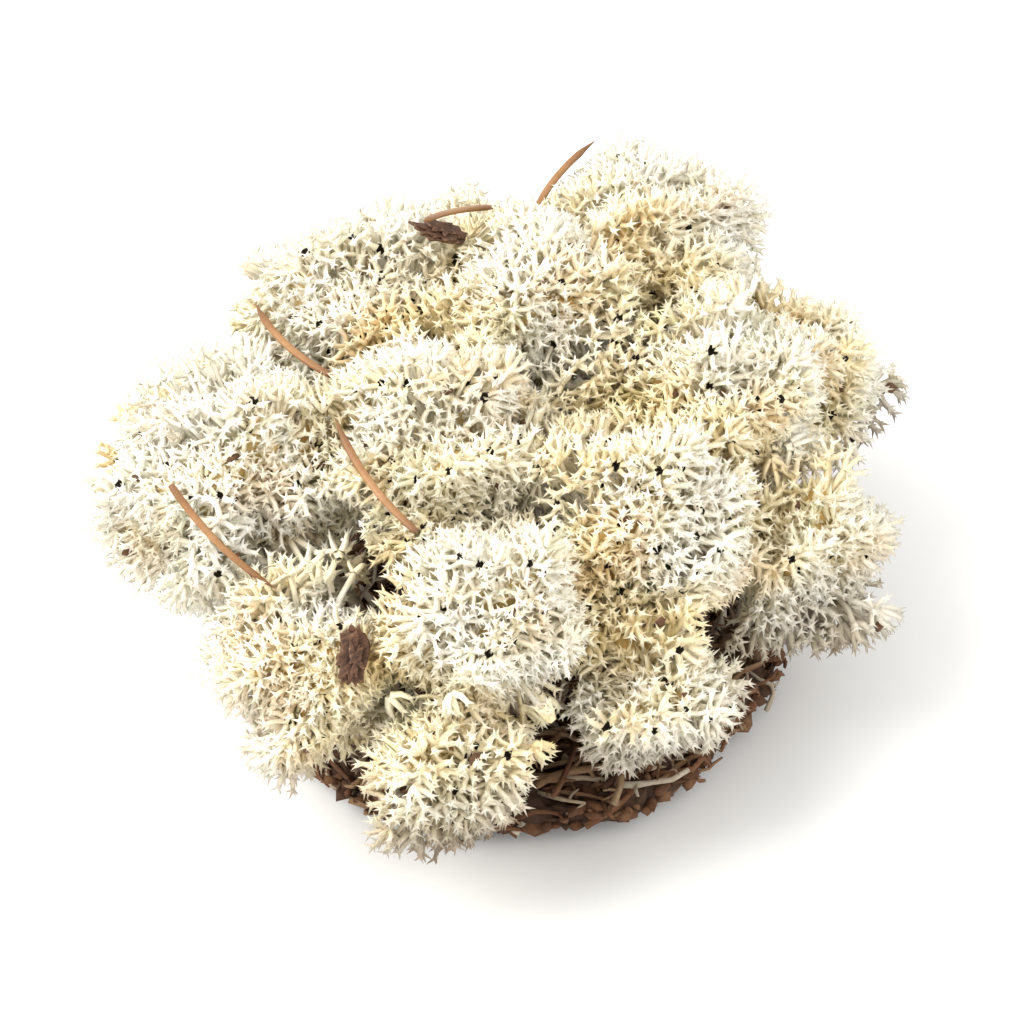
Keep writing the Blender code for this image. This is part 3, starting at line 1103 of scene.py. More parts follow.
@dataclass
class Cushion:
    """Outer form of the whole clump, where the lobes of all heads run together."""

    heads: list
    blend: float = 1.6
    swell: float = 1.55
    # The hull values and the creases' share and limit set how much painted shade falls in the creases between
    # lobes
    hull_blend: float = 3.0
    hull_swell: float = 4.0
    depth_share: float = 0.75
    crease_shade_share: float = 2.3
    crease_shade_most: float = 1.4
    waves: int = 14
    wave_lengths: tuple = (6.0, 15.0)
    wave_height: float = 0.42
    near_share: float = 1.6
    sight_share: float = 1.25
    steps: int = 22
    batch: int = 20000

    def __post_init__(self) -> None:
        """Gathers the lobes and draws the waves that make the surface uneven."""
        self.middles = np.concatenate([head.centre + head.lobe_offsets for head in self.heads])
        self.radii = np.concatenate([head.lobe_radii for head in self.heads])
        draw = np.random.RandomState(3)
        lengths = draw.uniform(*self.wave_lengths, self.waves)
        self.wave_vectors = unit(draw.normal(0, 1, (self.waves, 3))) * (math.tau / lengths)[:, None]
        self.wave_starts = draw.uniform(0, math.tau, self.waves)

    def near(self, head: Envelope) -> "Cushion":
        """The part of the cushion that matters round one head.

        Args:
            head: The head.

        Returns:
            A cushion with the same waves and only the lobes close by.
        """
        part = Cushion([head])
        away = np.linalg.norm(self.middles - head.centre, axis=1)
        close = away < self.radii + head.radius * self.near_share
        part.middles, part.radii = self.middles[close], self.radii[close]
        return part

    def depth_and_crease_shade(self, points: Array) -> Array:
        """Depths for the finish, in which creases between lobes count as deep, tips and all, which paints
        shade in the creases.

        Args:
            points: Points, (n, 3).

        Returns:
            Depths, (n,), negative outside.
        """
        below = self.depth(points)
        # How far the creases lie under the smoother hull: painted shade there
        crease_shade = self.depth(points, self.hull_blend, self.hull_swell) - below
        return below * self.depth_share + np.clip(crease_shade, 0, self.crease_shade_most) * self.crease_shade_share

    def depth(self, points: Array, blend: float = 0.0, swell: float = 0.0) -> Array:
        """How far points lie below the cushion's surface.

        Args:
            points: Points, (n, 3).
            blend: How softly the lobes run together, or 0 for the cushion's own value.
            swell: How far the blended surface is drawn back in, used where a blend is given.

        Returns:
            Depths, (n,), negative outside.
        """
        if not blend:
            blend, swell = self.blend, self.swell
        inside = np.empty(len(points))
        for start in range(0, len(points), self.batch):
            some = points[start:start + self.batch]
            squares = (some**2).sum(axis=1)[:, None] + (self.middles**2).sum(axis=1)
            apart = np.sqrt(np.maximum(0, squares - 2 * some @ self.middles.T))
            each = self.radii - apart
            best = each.max(axis=1)
            total = np.exp((each - best[:, None]) / blend).sum(axis=1)
            waves = np.sin(some @ self.wave_vectors.T + self.wave_starts).sum(axis=1)
            found = best + blend * np.log(total) - swell + waves * self.wave_height
            inside[start:start + self.batch] = found
        return inside

    def surface(self, head: Envelope, directions: Array, below: float, margin: float) -> Array:
        """Where lines from a crown's centre come out of the cushion, or meet the head's walls.

        Args:
            head: The head.
            directions: Unit vectors, (n, 3).
            below: Depth of the wanted surface below the cushion's.
            margin: Room left inside the walls.

        Returns:
            Distances, (n,).
        """
        distance = np.minimum(head.radius * self.sight_share, head.room(directions) - margin)
        for _ in range(self.steps):
            over = below - self.depth(head.centre + directions * distance[:, None])
            distance = distance - np.maximum(0, over) * 0.8
        return distance

    def normals(self, points: Array, step: float = 0.5) -> Array:
        """Unit vectors out of the cushion.

        Args:
            points: Points, (n, 3).
            step: Distance over which the depth is compared.

        Returns:
            Unit vectors, (n, 3).
        """
        slopes = [self.depth(points - way) - self.depth(points + way) for way in np.eye(3) * step]
        return unit(np.stack(slopes, axis=1))


@dataclass(frozen=True)
class Layer:
    """Sizes of one layer of whorls under the cushion's surface."""

    top: float
    depth: float
    spacing: float
    deepest: float
    ring: float
    arms: tuple
    steps: int
    prongs: int
    prong_length: float
    open_share: float


OUTER_LAYER = Layer(top=0.0, depth=1.7, spacing=2.95, deepest=4.2, ring=1.3, arms=(4, 7), steps=3,
                    prongs=4, prong_length=1.0, open_share=0.45)
INNER_LAYER = Layer(top=1.1, depth=1.4, spacing=3.15, deepest=4.5, ring=1.25, arms=(3, 6), steps=2,
                    prongs=3, prong_length=1.0, open_share=0.0)


@dataclass
class Whorls:
    """Places, directions and looks of the whorls of one layer."""

    layer: Layer
    nodes: Array
    ways: Array
    depths: Array
    tints: Array
    opened: Array


@dataclass
class LichenHead:
    """One lichen plant: stars of fine prongs on whorls of arms, which forks of a leaning trunk carry."""

    envelope: Envelope
    cushion: Cushion
    crown_cap: float = math.radians(136)
    thin_angle: float = math.radians(112)
    thin_share: float = 0.6
    wall_margin: float = 0.12
    interlock: float = 0.3
    tip_drop: float = 0.3
    arm_radius: float = 0.38
    arm_tip_radius: float = 0.27
    prong_radius: float = 0.225
    cup_radius: float = 0.68
    cup_depth: float = 0.75
    cup_sides: int = 5
    fork_size: float = 4.5
    second_share: float = 0.68
    third_share: float = 0.5
    inner_radii: tuple = (0.36, 0.3)
    fork_radii: tuple = (0.5, 0.38)
    limb_radii: tuple = (0.95, 0.6)
    strands: int = 8
    strand_steps: int = 14
    trunk_spurs: int = 110
    trunk_spur_radius: float = 0.3
    twigs: int = 62
    twig_floor: float = 8.0
    twig_reach: float = 0.8
    twig_radius: float = 0.32
    stubs: int = 1700
    stub_radius: float = 0.32
    core_depth: float = 3.0
    core_least: float = 0.2
    core_lump: float = 1.3
    core_roughness: float = 0.75
    core_margin: float = 1.9
    # Extra depth that the core counts as for the finish: painted shade on it
    core_painted_shade: float = 2.4
    specks: int = 9
    usual_radius: float = 12.5
    most_depth: float = 12.0

    def __post_init__(self) -> None:
        """Seeds the head's random numbers and starts its surface."""
        self.draw = np.random.RandomState(100 + self.envelope.number)
        self.surface = Surface()
        self.heart = self.envelope.centre - self.envelope.axis * self.envelope.radius * 0.3
        self.size = self.envelope.radius / self.usual_radius
        self.limbs = np.zeros((0, 0, 3))
        self.trunk = np.zeros((0, 0, 3))
        self.core = slice(0)

    def swing(self, count: int, low: float, high: float) -> Array:
        """Random numbers from low to high."""
        return self.draw.uniform(low, high, count)

    def place_whorls(self, layer: Layer) -> Whorls:
        """Chooses where the whorls of a layer sit, and the direction that each faces.

        Args:
            layer: The layer's sizes.

        Returns:
            The whorls.
        """
        env = self.envelope
        radius = env.radius - layer.top
        area = 2 * math.pi * radius**2 * (1 - math.cos(self.crown_cap))
        count = round(area / (layer.spacing**2 * math.sqrt(3) / 2))
        local = even_directions(count, self.crown_cap, self.draw)
        directions = env.world(local)
        distance = self.cushion.surface(env, directions, layer.top, self.wall_margin)
        tops = env.centre + directions * distance[:, None]
        depth = self.cushion.depth(tops)
        lean = np.arccos(np.clip(local[:, 2], -1, 1))
        keep = depth < layer.deepest
        keep &= (lean < self.thin_angle) | (self.swing(count, 0, 1) < self.thin_share)
        tops = tops[keep]
        count = len(tops)
        ways = unit(self.cushion.normals(tops) * 0.75 + directions[keep] * 0.25
                    + self.draw.normal(0, 0.1, (count, 3)))
        depths = layer.depth * self.swing(count, 0.85, 1.2)
        nodes = env.kept_inside(tops - ways * depths[:, None], self.wall_margin)
        slope = np.clip(0.4 + lean[keep] / 1.3, 0, 1)
        opened = self.swing(count, 0, 1) < layer.open_share * slope
        return Whorls(layer, nodes, ways, depths, self.swing(count, 0, 1) ** 2 * 0.35, opened)

    def add_whorls(self, whorls: Whorls) -> None:
        """Adds each whorl's arms, the stars at their ends and the prongs along them.

        Args:
            whorls: The whorls.
        """
        layer = whorls.layer
        counts = self.draw.randint(*layer.arms, len(whorls.nodes))
        owner = np.repeat(np.arange(len(counts)), counts)
        count = len(owner)
        order = np.arange(count) - np.repeat(np.cumsum(counts) - counts, counts)
        turns = math.tau * (order + self.swing(count, -0.25, 0.25)) / counts[owner]
        turns += self.swing(len(counts), 0, math.tau)[owner]
        way = whorls.ways[owner]
        out = around(way, turns)
        middle_one = ~whorls.opened[owner] & (order == 0)
        reach = layer.ring * self.swing(count, 0.8, 1.25) * np.where(middle_one, 0.1, 1.0)
        rise = whorls.depths[owner] - self.tip_drop + self.swing(count, -0.35, 0.3)
        start = np.where(whorls.opened[owner], self.cup_radius * 0.8, 0.1)
        root = whorls.nodes[owner] + out * start[:, None]
        out = out * (reach - start)[:, None]
        up = way * rise[:, None]
        corners = (root, root + out * 0.6 + up * 0.25, root + out * 0.9 + up * 0.6, root + out + up)
        paths = self.envelope.kept_inside(curves(corners, layer.steps), self.wall_margin)
        tint = whorls.tints[owner]
        radii = tapers(self.arm_radius, self.arm_tip_radius, layer.steps)
        radii = radii * self.swing(count, 0.85, 1.2)[:, None]
        self.surface.add_tubes(paths, radii, 3, {Shade.TINT: tint})
        ahead = unit(paths[:, -1] - paths[:, -2])
        self.add_stars(paths[:, -1], ahead, tint, layer.prongs, layer.prong_length)
        side = self.draw.randint(0, count, count)
        lean = unit(unit(out[side]) * 0.7 + way[side] * 0.7 + self.draw.normal(0, 0.4, (len(side), 3)))
        lengths = layer.prong_length * self.swing(len(side), 0.6, 1.1)
        share = self.swing(len(side), 0.35, 0.8)[:, None]
        places = paths[side, -2] * (1 - share) + paths[side, -1] * share
        self.add_prongs(places, lean, lengths, tint[side])

    def add_prongs(self, roots: Array, ways: Array, lengths: Array, tints: Array) -> None:
        """Adds single prongs, which may reach a little way past the head's walls.

        Args:
            roots: Where they stand, (n, 3).
            ways: Unit vectors along them, (n, 3).
            lengths: Their lengths, (n,).
            tints: Their tints, (n,).
        """
        tips = self.envelope.kept_inside(roots + ways * lengths[:, None], -self.interlock, 1)
        ways = tips - roots
        lengths = np.linalg.norm(ways, axis=1)
        self.surface.add_spurs(roots, unit(ways), lengths, self.prong_radius, {Shade.TINT: tints})

    def add_stars(self, roots: Array, ways: Array, tints: Array, prongs: int, length: float) -> None:
        """Adds a star of prongs at each place.

        Args:
            roots: Where the stars sit, (n, 3).
            ways: The way that each faces, (n, 3).
            tints: Tint of each, (n,).
            prongs: Prongs of a star.
            length: Length of a prong.
        """
        owner = np.repeat(np.arange(len(roots)), prongs)
        order = np.tile(np.arange(prongs), len(roots))
        turns = math.tau * (order + self.swing(len(owner), -0.25, 0.25)) / prongs
        turns += self.swing(len(roots), 0, math.tau)[owner]
        leans = np.radians(self.swing(len(owner), 28, 64))
        lengths = length * self.swing(len(owner), 0.65, 1.25)
        self.add_prongs(roots[owner], tilted(ways[owner], turns, leans), lengths, tints[owner])

    def add_cups(self, whorls: Whorls) -> None:
        """Adds the open pit in the middle of each open whorl: a short funnel whose inner lip and bottom are
        painted near-black, as shade.

        Args:
            whorls: The whorls.
        """
        sides = self.cup_sides
        way = whorls.ways[whorls.opened]
        base = whorls.nodes[whorls.opened]
        count = len(base)
        size = self.cup_radius * self.swing(count, 0.75, 1.2)
        rings = []
        for share, rise in ((0.5, -self.cup_depth), (1.0, 0.15), (0.8, 0.1)):
            for k in range(sides):
                out = around(way, np.full(count, math.tau * k / sides))
                rings.append(base + out * (size * share)[:, None] + way * rise)
        rings.append(base - way * (self.cup_depth - 0.15))
        # The inner lip and the bottom point carry the near-black painted shade
        pit_shade = np.append(np.repeat((0.0, 0.0, 1.0), sides), 1.0)
        tint = np.repeat(whorls.tints[whorls.opened], len(rings))
        values = {Shade.PIT_SHADE: np.tile(pit_shade, count), Shade.TINT: tint}
        self.surface.add_copies(np.stack(rings, axis=1), tube_faces(3, sides), values)

    def group(self, directions: Array, size: float) -> Array:
        """Shares branches out among fewer, thicker ones.

        Args:
            directions: Unit vectors of the branches, (n, 3).
            size: Branches of a group.

        Returns:
            Group number of each branch, (n,), with no number unused.
        """
        count = max(1, round(len(directions) / size))
        middles = self.envelope.world(even_directions(count, self.crown_cap, self.draw))
        return np.unique((directions @ middles.T).argmax(axis=1), return_inverse=True)[1].ravel()

    def add_forks(self, layers: list) -> None:
        """Adds the branches that carry the whorls, down to the trunk.

        Args:
            layers: The whorls of every layer.
        """
        env = self.envelope
        ways = np.concatenate([whorls.ways for whorls in layers])
        nodes = np.concatenate([whorls.nodes for whorls in layers])
        sunk = np.concatenate([whorls.opened for whorls in layers]) * self.cup_depth
        nodes = nodes - ways * sunk[:, None]
        first = self.group(unit(nodes - env.centre), self.fork_size * 1.4)
        second_nodes, second_ways = self.gather(nodes, first, self.second_share)
        second = self.group(second_ways, self.fork_size)
        third_nodes, third_ways = self.gather(second_nodes, second, self.third_share)
        self.add_branches(second_nodes[first], second_ways[first], nodes, ways, self.inner_radii, 3)
        self.add_branches(third_nodes[second], third_ways[second], second_nodes, second_ways,
                          self.fork_radii, 4)
        lean = np.degrees(np.arccos(np.clip(third_ways @ env.axis, -1, 1)))
        share = 0.72 - 0.42 * np.clip((lean - 25) / 85, 0, 1)
        roots = env.foot + (env.centre - env.foot) * share[:, None]
        roots += self.draw.normal(0, 0.5, roots.shape)
        up = np.tile(env.axis, (len(roots), 1))
        outward = unit(third_ways - up * (third_ways @ env.axis)[:, None])
        root_ways = unit(up * 0.75 + outward * 0.65)
        self.limbs = self.add_branches(roots, root_ways, third_nodes, third_ways, self.limb_radii, 7)

    def gather(self, nodes: Array, groups: Array, share: float) -> tuple:
        """Finds where each group of branches forks.

        Args:
            nodes: Where the branches end, (n, 3).
            groups: Group number of each, (n,).
            share: How far out from the heart the fork lies.

        Returns:
            The forks' places and the unit vectors along which they face.
        """
        count = groups.max() + 1
        total = np.zeros((count, 3))
        np.add.at(total, groups, nodes)
        middle = total / np.bincount(groups, minlength=count)[:, None]
        away = middle - self.heart
        places = self.heart + away * share + self.draw.normal(0, 0.25, away.shape)
        return self.envelope.kept_inside(places, 1.0), unit(away)

    def add_branches(self, roots: Array, root_ways: Array, ends: Array, end_ways: Array,
                     radii: tuple, steps: int) -> Array:
        """Adds curved branches from roots to ends.

        Args:
            roots: Where they start, (n, 3).
            root_ways: Directions in which they leave, (n, 3).
            ends: Where they end, (n, 3).
            end_ways: Directions in which they arrive, (n, 3).
            radii: First and last radius.
            steps: Points on each.

        Returns:
            The branches' paths, (n, steps, 3).
        """
        pull = np.linalg.norm(ends - roots, axis=1)[:, None] * 0.38
        wander = self.draw.normal(0, 0.12, (2, *roots.shape)) * pull
        corners = (roots, roots + root_ways * pull + wander[0], ends - end_ways * pull + wander[1], ends)
        paths = self.envelope.kept_inside(curves(corners, steps), radii[0] + 0.1)
        tint = self.swing(len(roots), 0, 0.35)
        sides = 3 if steps < 5 else 5
        self.surface.add_tubes(paths, tapers(*radii, steps), sides, {Shade.TINT: tint})
        return paths

    def add_trunk(self) -> None:
        """Adds the trunk as a bundle of strands, each twisted a little round its middle."""
        env = self.envelope
        strands, steps = self.strands, self.strand_steps
        along = np.linspace(0, 1, steps)
        run = self.heart - env.foot
        twist = along[None] * self.swing(strands, -0.3, 0.3)[:, None]
        turns = math.tau * (np.arange(strands)[:, None] / strands + twist)
        turns = turns + self.swing(strands, -0.5, 0.5)[:, None]
        out = env.side * np.cos(turns)[..., None] + env.other_side * np.sin(turns)[..., None]
        phase = self.swing(strands, 0, math.tau)[:, None]
        width = (1.2 + 0.9 * along[None] + 0.5 * np.sin(along[None] * 8 + phase)) * self.size**0.5
        paths = env.foot + run * along[None, :, None] + out * width[..., None]
        paths = paths + self.draw.normal(0, 0.2, paths.shape)
        paths = env.kept_inside(paths, 0.7)
        radii = tapers(self.swing(strands, 0.45, 0.85), 0.42, steps)
        radii = radii * self.draw.uniform(0.75, 1.25, (strands, steps))
        tint = self.swing(strands, 0.1, 0.6)
        self.surface.add_tubes(paths, radii, 6, {Shade.TINT: tint})
        self.trunk = paths

    def add_trunk_spurs(self) -> None:
        """Adds short spurs that stand out of the trunk's strands."""
        env = self.envelope
        count = self.trunk_spurs
        strands, steps = self.trunk.shape[:2]
        roots = self.trunk[self.draw.randint(0, strands, count), self.draw.randint(1, steps, count)]
        from_foot = roots - env.foot
        outward = unit(from_foot - (from_foot @ env.axis)[:, None] * env.axis)
        ways = unit(outward + env.axis * 0.5 + self.draw.normal(0, 0.5, roots.shape))
        lengths = self.swing(count, 1.0, 2.4)
        tint = self.swing(count, 0.1, 0.6)
        self.surface.add_spurs(roots, ways, lengths, self.trunk_spur_radius, {Shade.TINT: tint})

    def add_twigs(self) -> None:
        """Adds the forked side twigs that knit the limbs and trunk into an open net."""
        env = self.envelope
        count = round(self.twigs * self.size**1.5)
        limb = self.draw.randint(0, len(self.limbs), count)
        step = self.draw.randint(2, self.limbs.shape[1], count)
        roots = self.limbs[limb, step]
        low = self.draw.randint(0, self.trunk.shape[0], count // 3)
        low_step = self.draw.randint(3, self.trunk.shape[1], count // 3)
        roots = np.concatenate([roots, self.trunk[low, low_step]])
        from_axis = roots - env.foot
        outward = unit(from_axis - env.axis * (from_axis @ env.axis)[:, None])
        ways = unit(outward * 0.8 + env.axis * 0.5 + self.draw.normal(0, 0.45, roots.shape))
        lengths = self.swing(len(roots), 2.2, 4.8)
        ends = roots + ways * lengths[:, None] * 1.6 - env.foot
        away = np.linalg.norm(ends - (ends @ env.axis)[:, None] * env.axis, axis=1)
        near = (away < env.radius * self.twig_reach) & (ends[:, 2] + env.foot[2] > self.twig_floor)
        self.add_forked(roots[near], ways[near], lengths[near], self.twig_radius, 2)

    def add_forked(self, roots: Array, ways: Array, lengths: Array, radius: float, forks: int) -> None:
        """Adds twigs that fork, and fork again, and end in stars.

        Args:
            roots: Where they start, (n, 3).
            ways: Directions in which they grow, (n, 3).
            lengths: Length of each, (n,).
            radius: Radius at their roots.
            forks: Times that they fork.
        """
        count = len(roots)
        bend = unit(ways + self.envelope.axis * 0.5 + self.draw.normal(0, 0.3, ways.shape))
        middle = roots + ways * lengths[:, None] * 0.5
        ends = middle + bend * lengths[:, None] * 0.5
        paths = np.stack([roots, ends], axis=1)
        paths = self.envelope.kept_inside(paths, radius + 0.1)
        tint = self.swing(count, 0, 0.4)
        self.surface.add_tubes(paths, tapers(radius, radius * 0.8, 2), 3, {Shade.TINT: tint})
        last = paths[:, -1]
        way = unit(last - paths[:, 0])
        if forks == 0:
            self.add_stars(last, way, tint, 3, 0.8)
            return
        turn = self.swing(count, 0, math.tau)
        for k in range(2):
            lean = np.radians(self.swing(count, 22, 48))
            child = tilted(way, turn + math.pi * k, lean)
            shorter = lengths * self.swing(count, 0.45, 0.65)
            self.add_forked(last, child, shorter, radius * 0.8, forks - 1)

    def add_core(self) -> None:
        """Adds the dense tangle deep inside the crown, with spurs that stand out of it."""
        env = self.envelope
        local, faces = ball_directions(4)
        directions = env.world(local)
        lean = np.arccos(np.clip(local[:, 2], -1, 1))
        share = 1 - 0.6 * np.clip((lean - math.radians(90)) / math.radians(70), 0, 1)
        distance = self.cushion.surface(env, directions, self.core_depth, 0.9) * share
        distance = np.maximum(distance, env.radius * self.core_least)
        distance = distance + self.core_roughness * rough(directions * env.radius, self.core_lump)
        points = env.kept_inside(env.centre + directions * distance[:, None], self.core_margin)
        # The core's full tint darkens it as painted shade, so that where it shows it looks like shade between
        # branches
        self.surface.add(points, faces, {Shade.TINT: 1.0})
        self.core = slice(self.surface.count - len(points), self.surface.count)
        self.add_stubs(points, faces, directions)

    def add_stubs(self, points: Array, faces: Array, directions: Array) -> None:
        """Adds short spurs all over the core.

        Args:
            points: The core's points, (n, 3).
            faces: Its triangles, (m, 3).
            directions: Unit vectors from the crown's centre to its points, (n, 3).
        """
        env = self.envelope
        count = round(self.stubs * self.size**2)
        share = self.draw.dirichlet((1, 1, 1), count)
        first, second, third = points[faces].transpose(1, 0, 2)
        areas = np.linalg.norm(np.cross(second - first, third - first), axis=1)
        root = faces[self.draw.choice(len(faces), count, p=areas / areas.sum())]
        starts = (points[root] * share[..., None]).sum(axis=1)
        ways = unit(directions[root[:, 0]] + self.draw.normal(0, 0.5, (count, 3)))
        tips = env.kept_inside(starts + ways * self.swing(count, 1.1, 2.6)[:, None], -self.interlock, 1)
        lengths = np.linalg.norm(tips - starts, axis=1)
        tint = self.swing(count, 0, 0.4)
        self.surface.add_spurs(starts, unit(tips - starts), lengths, self.stub_radius, {Shade.TINT: tint})

    def add_specks(self) -> None:
        """Adds crumbs of bark and leaf that have dropped between the prongs."""
        env = self.envelope
        local, faces = ball_directions(2)
        count = self.specks
        directions = env.world(even_directions(count, math.radians(75), self.draw))
        distance = self.cushion.surface(env, directions, 0.9, 1.0) - self.swing(count, 0, 0.7)
        stretch = self.draw.uniform(0.3, 1.1, (count, 1, 3)) * self.swing(count, 0.35, 0.75)[:, None, None]
        lumps = 1 + 0.2 * self.draw.normal(0, 1, (count, len(local), 1))
        points = (env.centre + directions * distance[:, None])[:, None] + local[None] * stretch * lumps
        points = env.kept_inside(points, self.wall_margin)
        self.surface.add_copies(points, faces, {Shade.DEBRIS: 1.0})

    def set_depths(self) -> None:
        """Works out how deep each point counts as for the finish, the core deeper than it lies, which paints
        shade on it.
        """
        points = np.concatenate(self.surface.points)
        depths = self.cushion.depth_and_crease_shade(points)
        # Painted shade on the core
        depths[self.core] += self.core_painted_shade
        self.surface.values[Shade.DEPTH] = [np.clip(depths, 0, self.most_depth)]

    def build(self, material: bpy.types.Material) -> bpy.types.Object:
        """Makes the head.

        Args:
            material: Its finish.

        Returns:
            The finished piece.
        """
        layers = [self.place_whorls(layer) for layer in (OUTER_LAYER, INNER_LAYER)]
        for whorls in layers:
            self.add_whorls(whorls)
            self.add_cups(whorls)
        self.add_forks(layers)
        self.add_trunk()
        self.add_trunk_spurs()
        self.add_twigs()
        self.add_core()
        self.add_specks()
        self.set_depths()
        return self.surface.piece(f"forked_lichen_{self.envelope.number:02d}", material)


# Forest litter


@dataclass
class LitterMat:
    """Pad of crumbly peat and dead stems in which the heads are rooted."""

    radius: float = 25.5
    oval: float = 0.05
    waves: tuple = ((3, 1.0, 0.6), (7, 0.5, 2.0))
    top: float = 6.0
    bump: float = 1.7
    grain: float = 3.5
    rim_top: float = 3.6
    rim_foot: float = 2.0
    foot_share: float = 0.6
    segments: int = 200
    rings: int = 44
    stems: int = 480
    stem_steps: int = 6
    stem_radii: tuple = (0.22, 0.6)
    stem_lengths: tuple = (4.0, 13.0)
    stem_overhang: float = 0.9
    crumbs: int = 1200
    crumb_sizes: tuple = (0.25, 1.0)
    rim_crumb_share: float = 0.3
    sunk: float = 0.6
    ceiling: float = 6.9
    floor: float = 0.05

    def __post_init__(self) -> None:
        """Seeds the random numbers and starts the surface."""
        self.draw = np.random.RandomState(7)
        self.surface = Surface()

    def rim(self, turns: Array) -> Array:
        """Distance from the middle to the ragged rim.

        Args:
            turns: Angles round the mat, (n,).

        Returns:
            Distances, (n,).
        """
        reach = self.radius * (1 + self.oval * np.cos(2 * turns))
        for times, swing, start in self.waves:
            reach = reach + swing * np.sin(times * turns + start)
        return reach

    def heights(self, flat: Array) -> tuple:
        """Heights of the pad's underside and top.

        Args:
            flat: Points on the floor, (n, 3).

        Returns:
            Underside and top, each (n,).
        """
        turns = np.arctan2(flat[:, 1], flat[:, 0])
        share = np.linalg.norm(flat[:, :2], axis=1) / self.rim(turns)
        lumps = np.array([noise.noise(Vector(point) / self.grain) for point in flat])
        edge = np.maximum(0.0, (share - self.foot_share) / (1 - self.foot_share))
        foot = self.rim_foot * edge**2
        top = self.top + lumps * self.bump + (self.rim_top - self.top) * edge**2
        return foot, top

    def add_pad(self) -> None:
        """Adds the lumpy pad with its level foot."""
        turns = np.arange(self.segments) * math.tau / self.segments
        shares = np.sqrt(np.linspace(0, 1, self.rings + 1)[1:])
        flat = np.zeros((self.rings * self.segments, 3))
        reach = self.rim(turns) - self.sunk
        flat[:, 0] = (shares[:, None] * reach * np.cos(turns)).ravel()
        flat[:, 1] = (shares[:, None] * reach * np.sin(turns)).ravel()
        flat = np.concatenate([np.zeros((1, 3)), flat])
        foot, top = self.heights(flat)
        fine = rough(flat + (0, 0, 9.0), 1.1, 4)
        above, under = flat.copy(), flat.copy()
        above[:, 2] = np.clip(top - self.sunk + fine * 1.1, foot + 0.3, self.ceiling)
        under[:, 2] = np.where(foot > 0.02, foot + 0.3 + 0.6 * fine, 0.0).clip(0)
        rim = flat[-self.segments:]
        above[-self.segments:] += unit(rim) * (rough(rim * 2 + 5.0, 1.5) * 0.9)[:, None]
        faces = disc_faces(self.rings, self.segments)
        self.surface.add(above, faces, {Shade.DEPTH: 0.85, Shade.TINT: 0.2})
        self.surface.add(under, faces[:, ::-1], {Shade.DEPTH: 0.85, Shade.TINT: 0.1})
        high = len(above) - self.segments
        self.surface.join(rim_faces(high + len(above), high, self.segments))

    def held(self, paths: Array, margin: Array) -> Array:
        """Paths kept above the floor, under the mat's top and near its rim.

        Args:
            paths: Points, (n, steps, 3).
            margin: Radius of each path, (n,).

        Returns:
            The moved points.
        """
        turns = np.arctan2(paths[..., 1], paths[..., 0])
        away = np.linalg.norm(paths[..., :2], axis=-1)
        most = self.rim(turns) + self.stem_overhang - margin[:, None]
        shrink = np.minimum(1.0, most / np.maximum(away, 1e-6))
        held = paths.copy()
        held[..., :2] *= shrink[..., None]
        held[..., 2] = np.clip(held[..., 2], margin[:, None] + self.floor, self.ceiling - margin[:, None])
        return held

    def add_stems(self) -> None:
        """Adds the tangle of dead stems on the pad and round its rim."""
        count, steps = self.stems, self.stem_steps
        turns = self.draw.uniform(0, math.tau, count)
        shares = self.draw.uniform(0.12, 1.0, count) ** 0.55
        reach = self.rim(turns) * shares
        middle = np.stack([np.cos(turns) * reach, np.sin(turns) * reach, np.zeros(count)], axis=1)
        foot, top = self.heights(middle)
        low = self.draw.uniform(0, 1, count) ** 2
        middle[:, 2] = top * (1 - low) + (foot + 0.8) * low
        middle[:, 2] = np.where(shares > 0.86, middle[:, 2], top + self.draw.uniform(-0.3, 0.8, count))
        heading = turns + self.draw.normal(math.pi / 2, 0.7, count)
        along = np.stack([np.cos(heading), np.sin(heading), self.draw.normal(0, 0.12, count)], axis=1)
        length = self.draw.uniform(*self.stem_lengths, count)
        bow = self.draw.normal(0, 0.18, (2, count, 3)) * length[:, None]
        bow[..., 2] *= 0.35
        ends = middle + along * length[:, None] / 2
        starts = middle - along * length[:, None] / 2
        radius = self.draw.uniform(*self.stem_radii, count)
        paths = curves((starts, middle + bow[0], middle + bow[1], ends), steps)
        paths = self.held(paths, radius)
        tint = np.clip(self.draw.normal(0.5, 0.24, count), 0.05, 1)
        radii = tapers(radius, radius * 0.6, steps)
        radii = radii * self.draw.uniform(0.85, 1.15, radii.shape)
        self.surface.add_tubes(paths, radii, 4, {Shade.TINT: tint}, rooted=False)
        self.add_side_stubs(paths, radius, tint)

    def add_side_stubs(self, paths: Array, radius: Array, tint: Array) -> None:
        """Adds the broken side branches of the dead stems.

        Args:
            paths: The stems' paths, (n, steps, 3).
            radius: Their radii, (n,).
            tint: Their tints, (n,).
        """
        owner = np.repeat(np.arange(len(paths)), 2)
        step = self.draw.randint(1, paths.shape[1], len(owner))
        roots = paths[owner, step]
        ways = self.draw.normal(0, 1, roots.shape)
        ways[:, 2] *= 0.5
        lengths = self.draw.uniform(0.8, 2.6, len(owner))
        ends = roots + unit(ways) * lengths[:, None]
        middle = (roots + ends) / 2 + self.draw.normal(0, 0.2, roots.shape)
        paths = self.held(curves((roots, middle, middle, ends), 3), radius[owner] * 0.6)
        radii = tapers(radius[owner] * 0.6, radius[owner] * 0.35, 3)
        self.surface.add_tubes(paths, radii, 3, {Shade.TINT: tint[owner]})

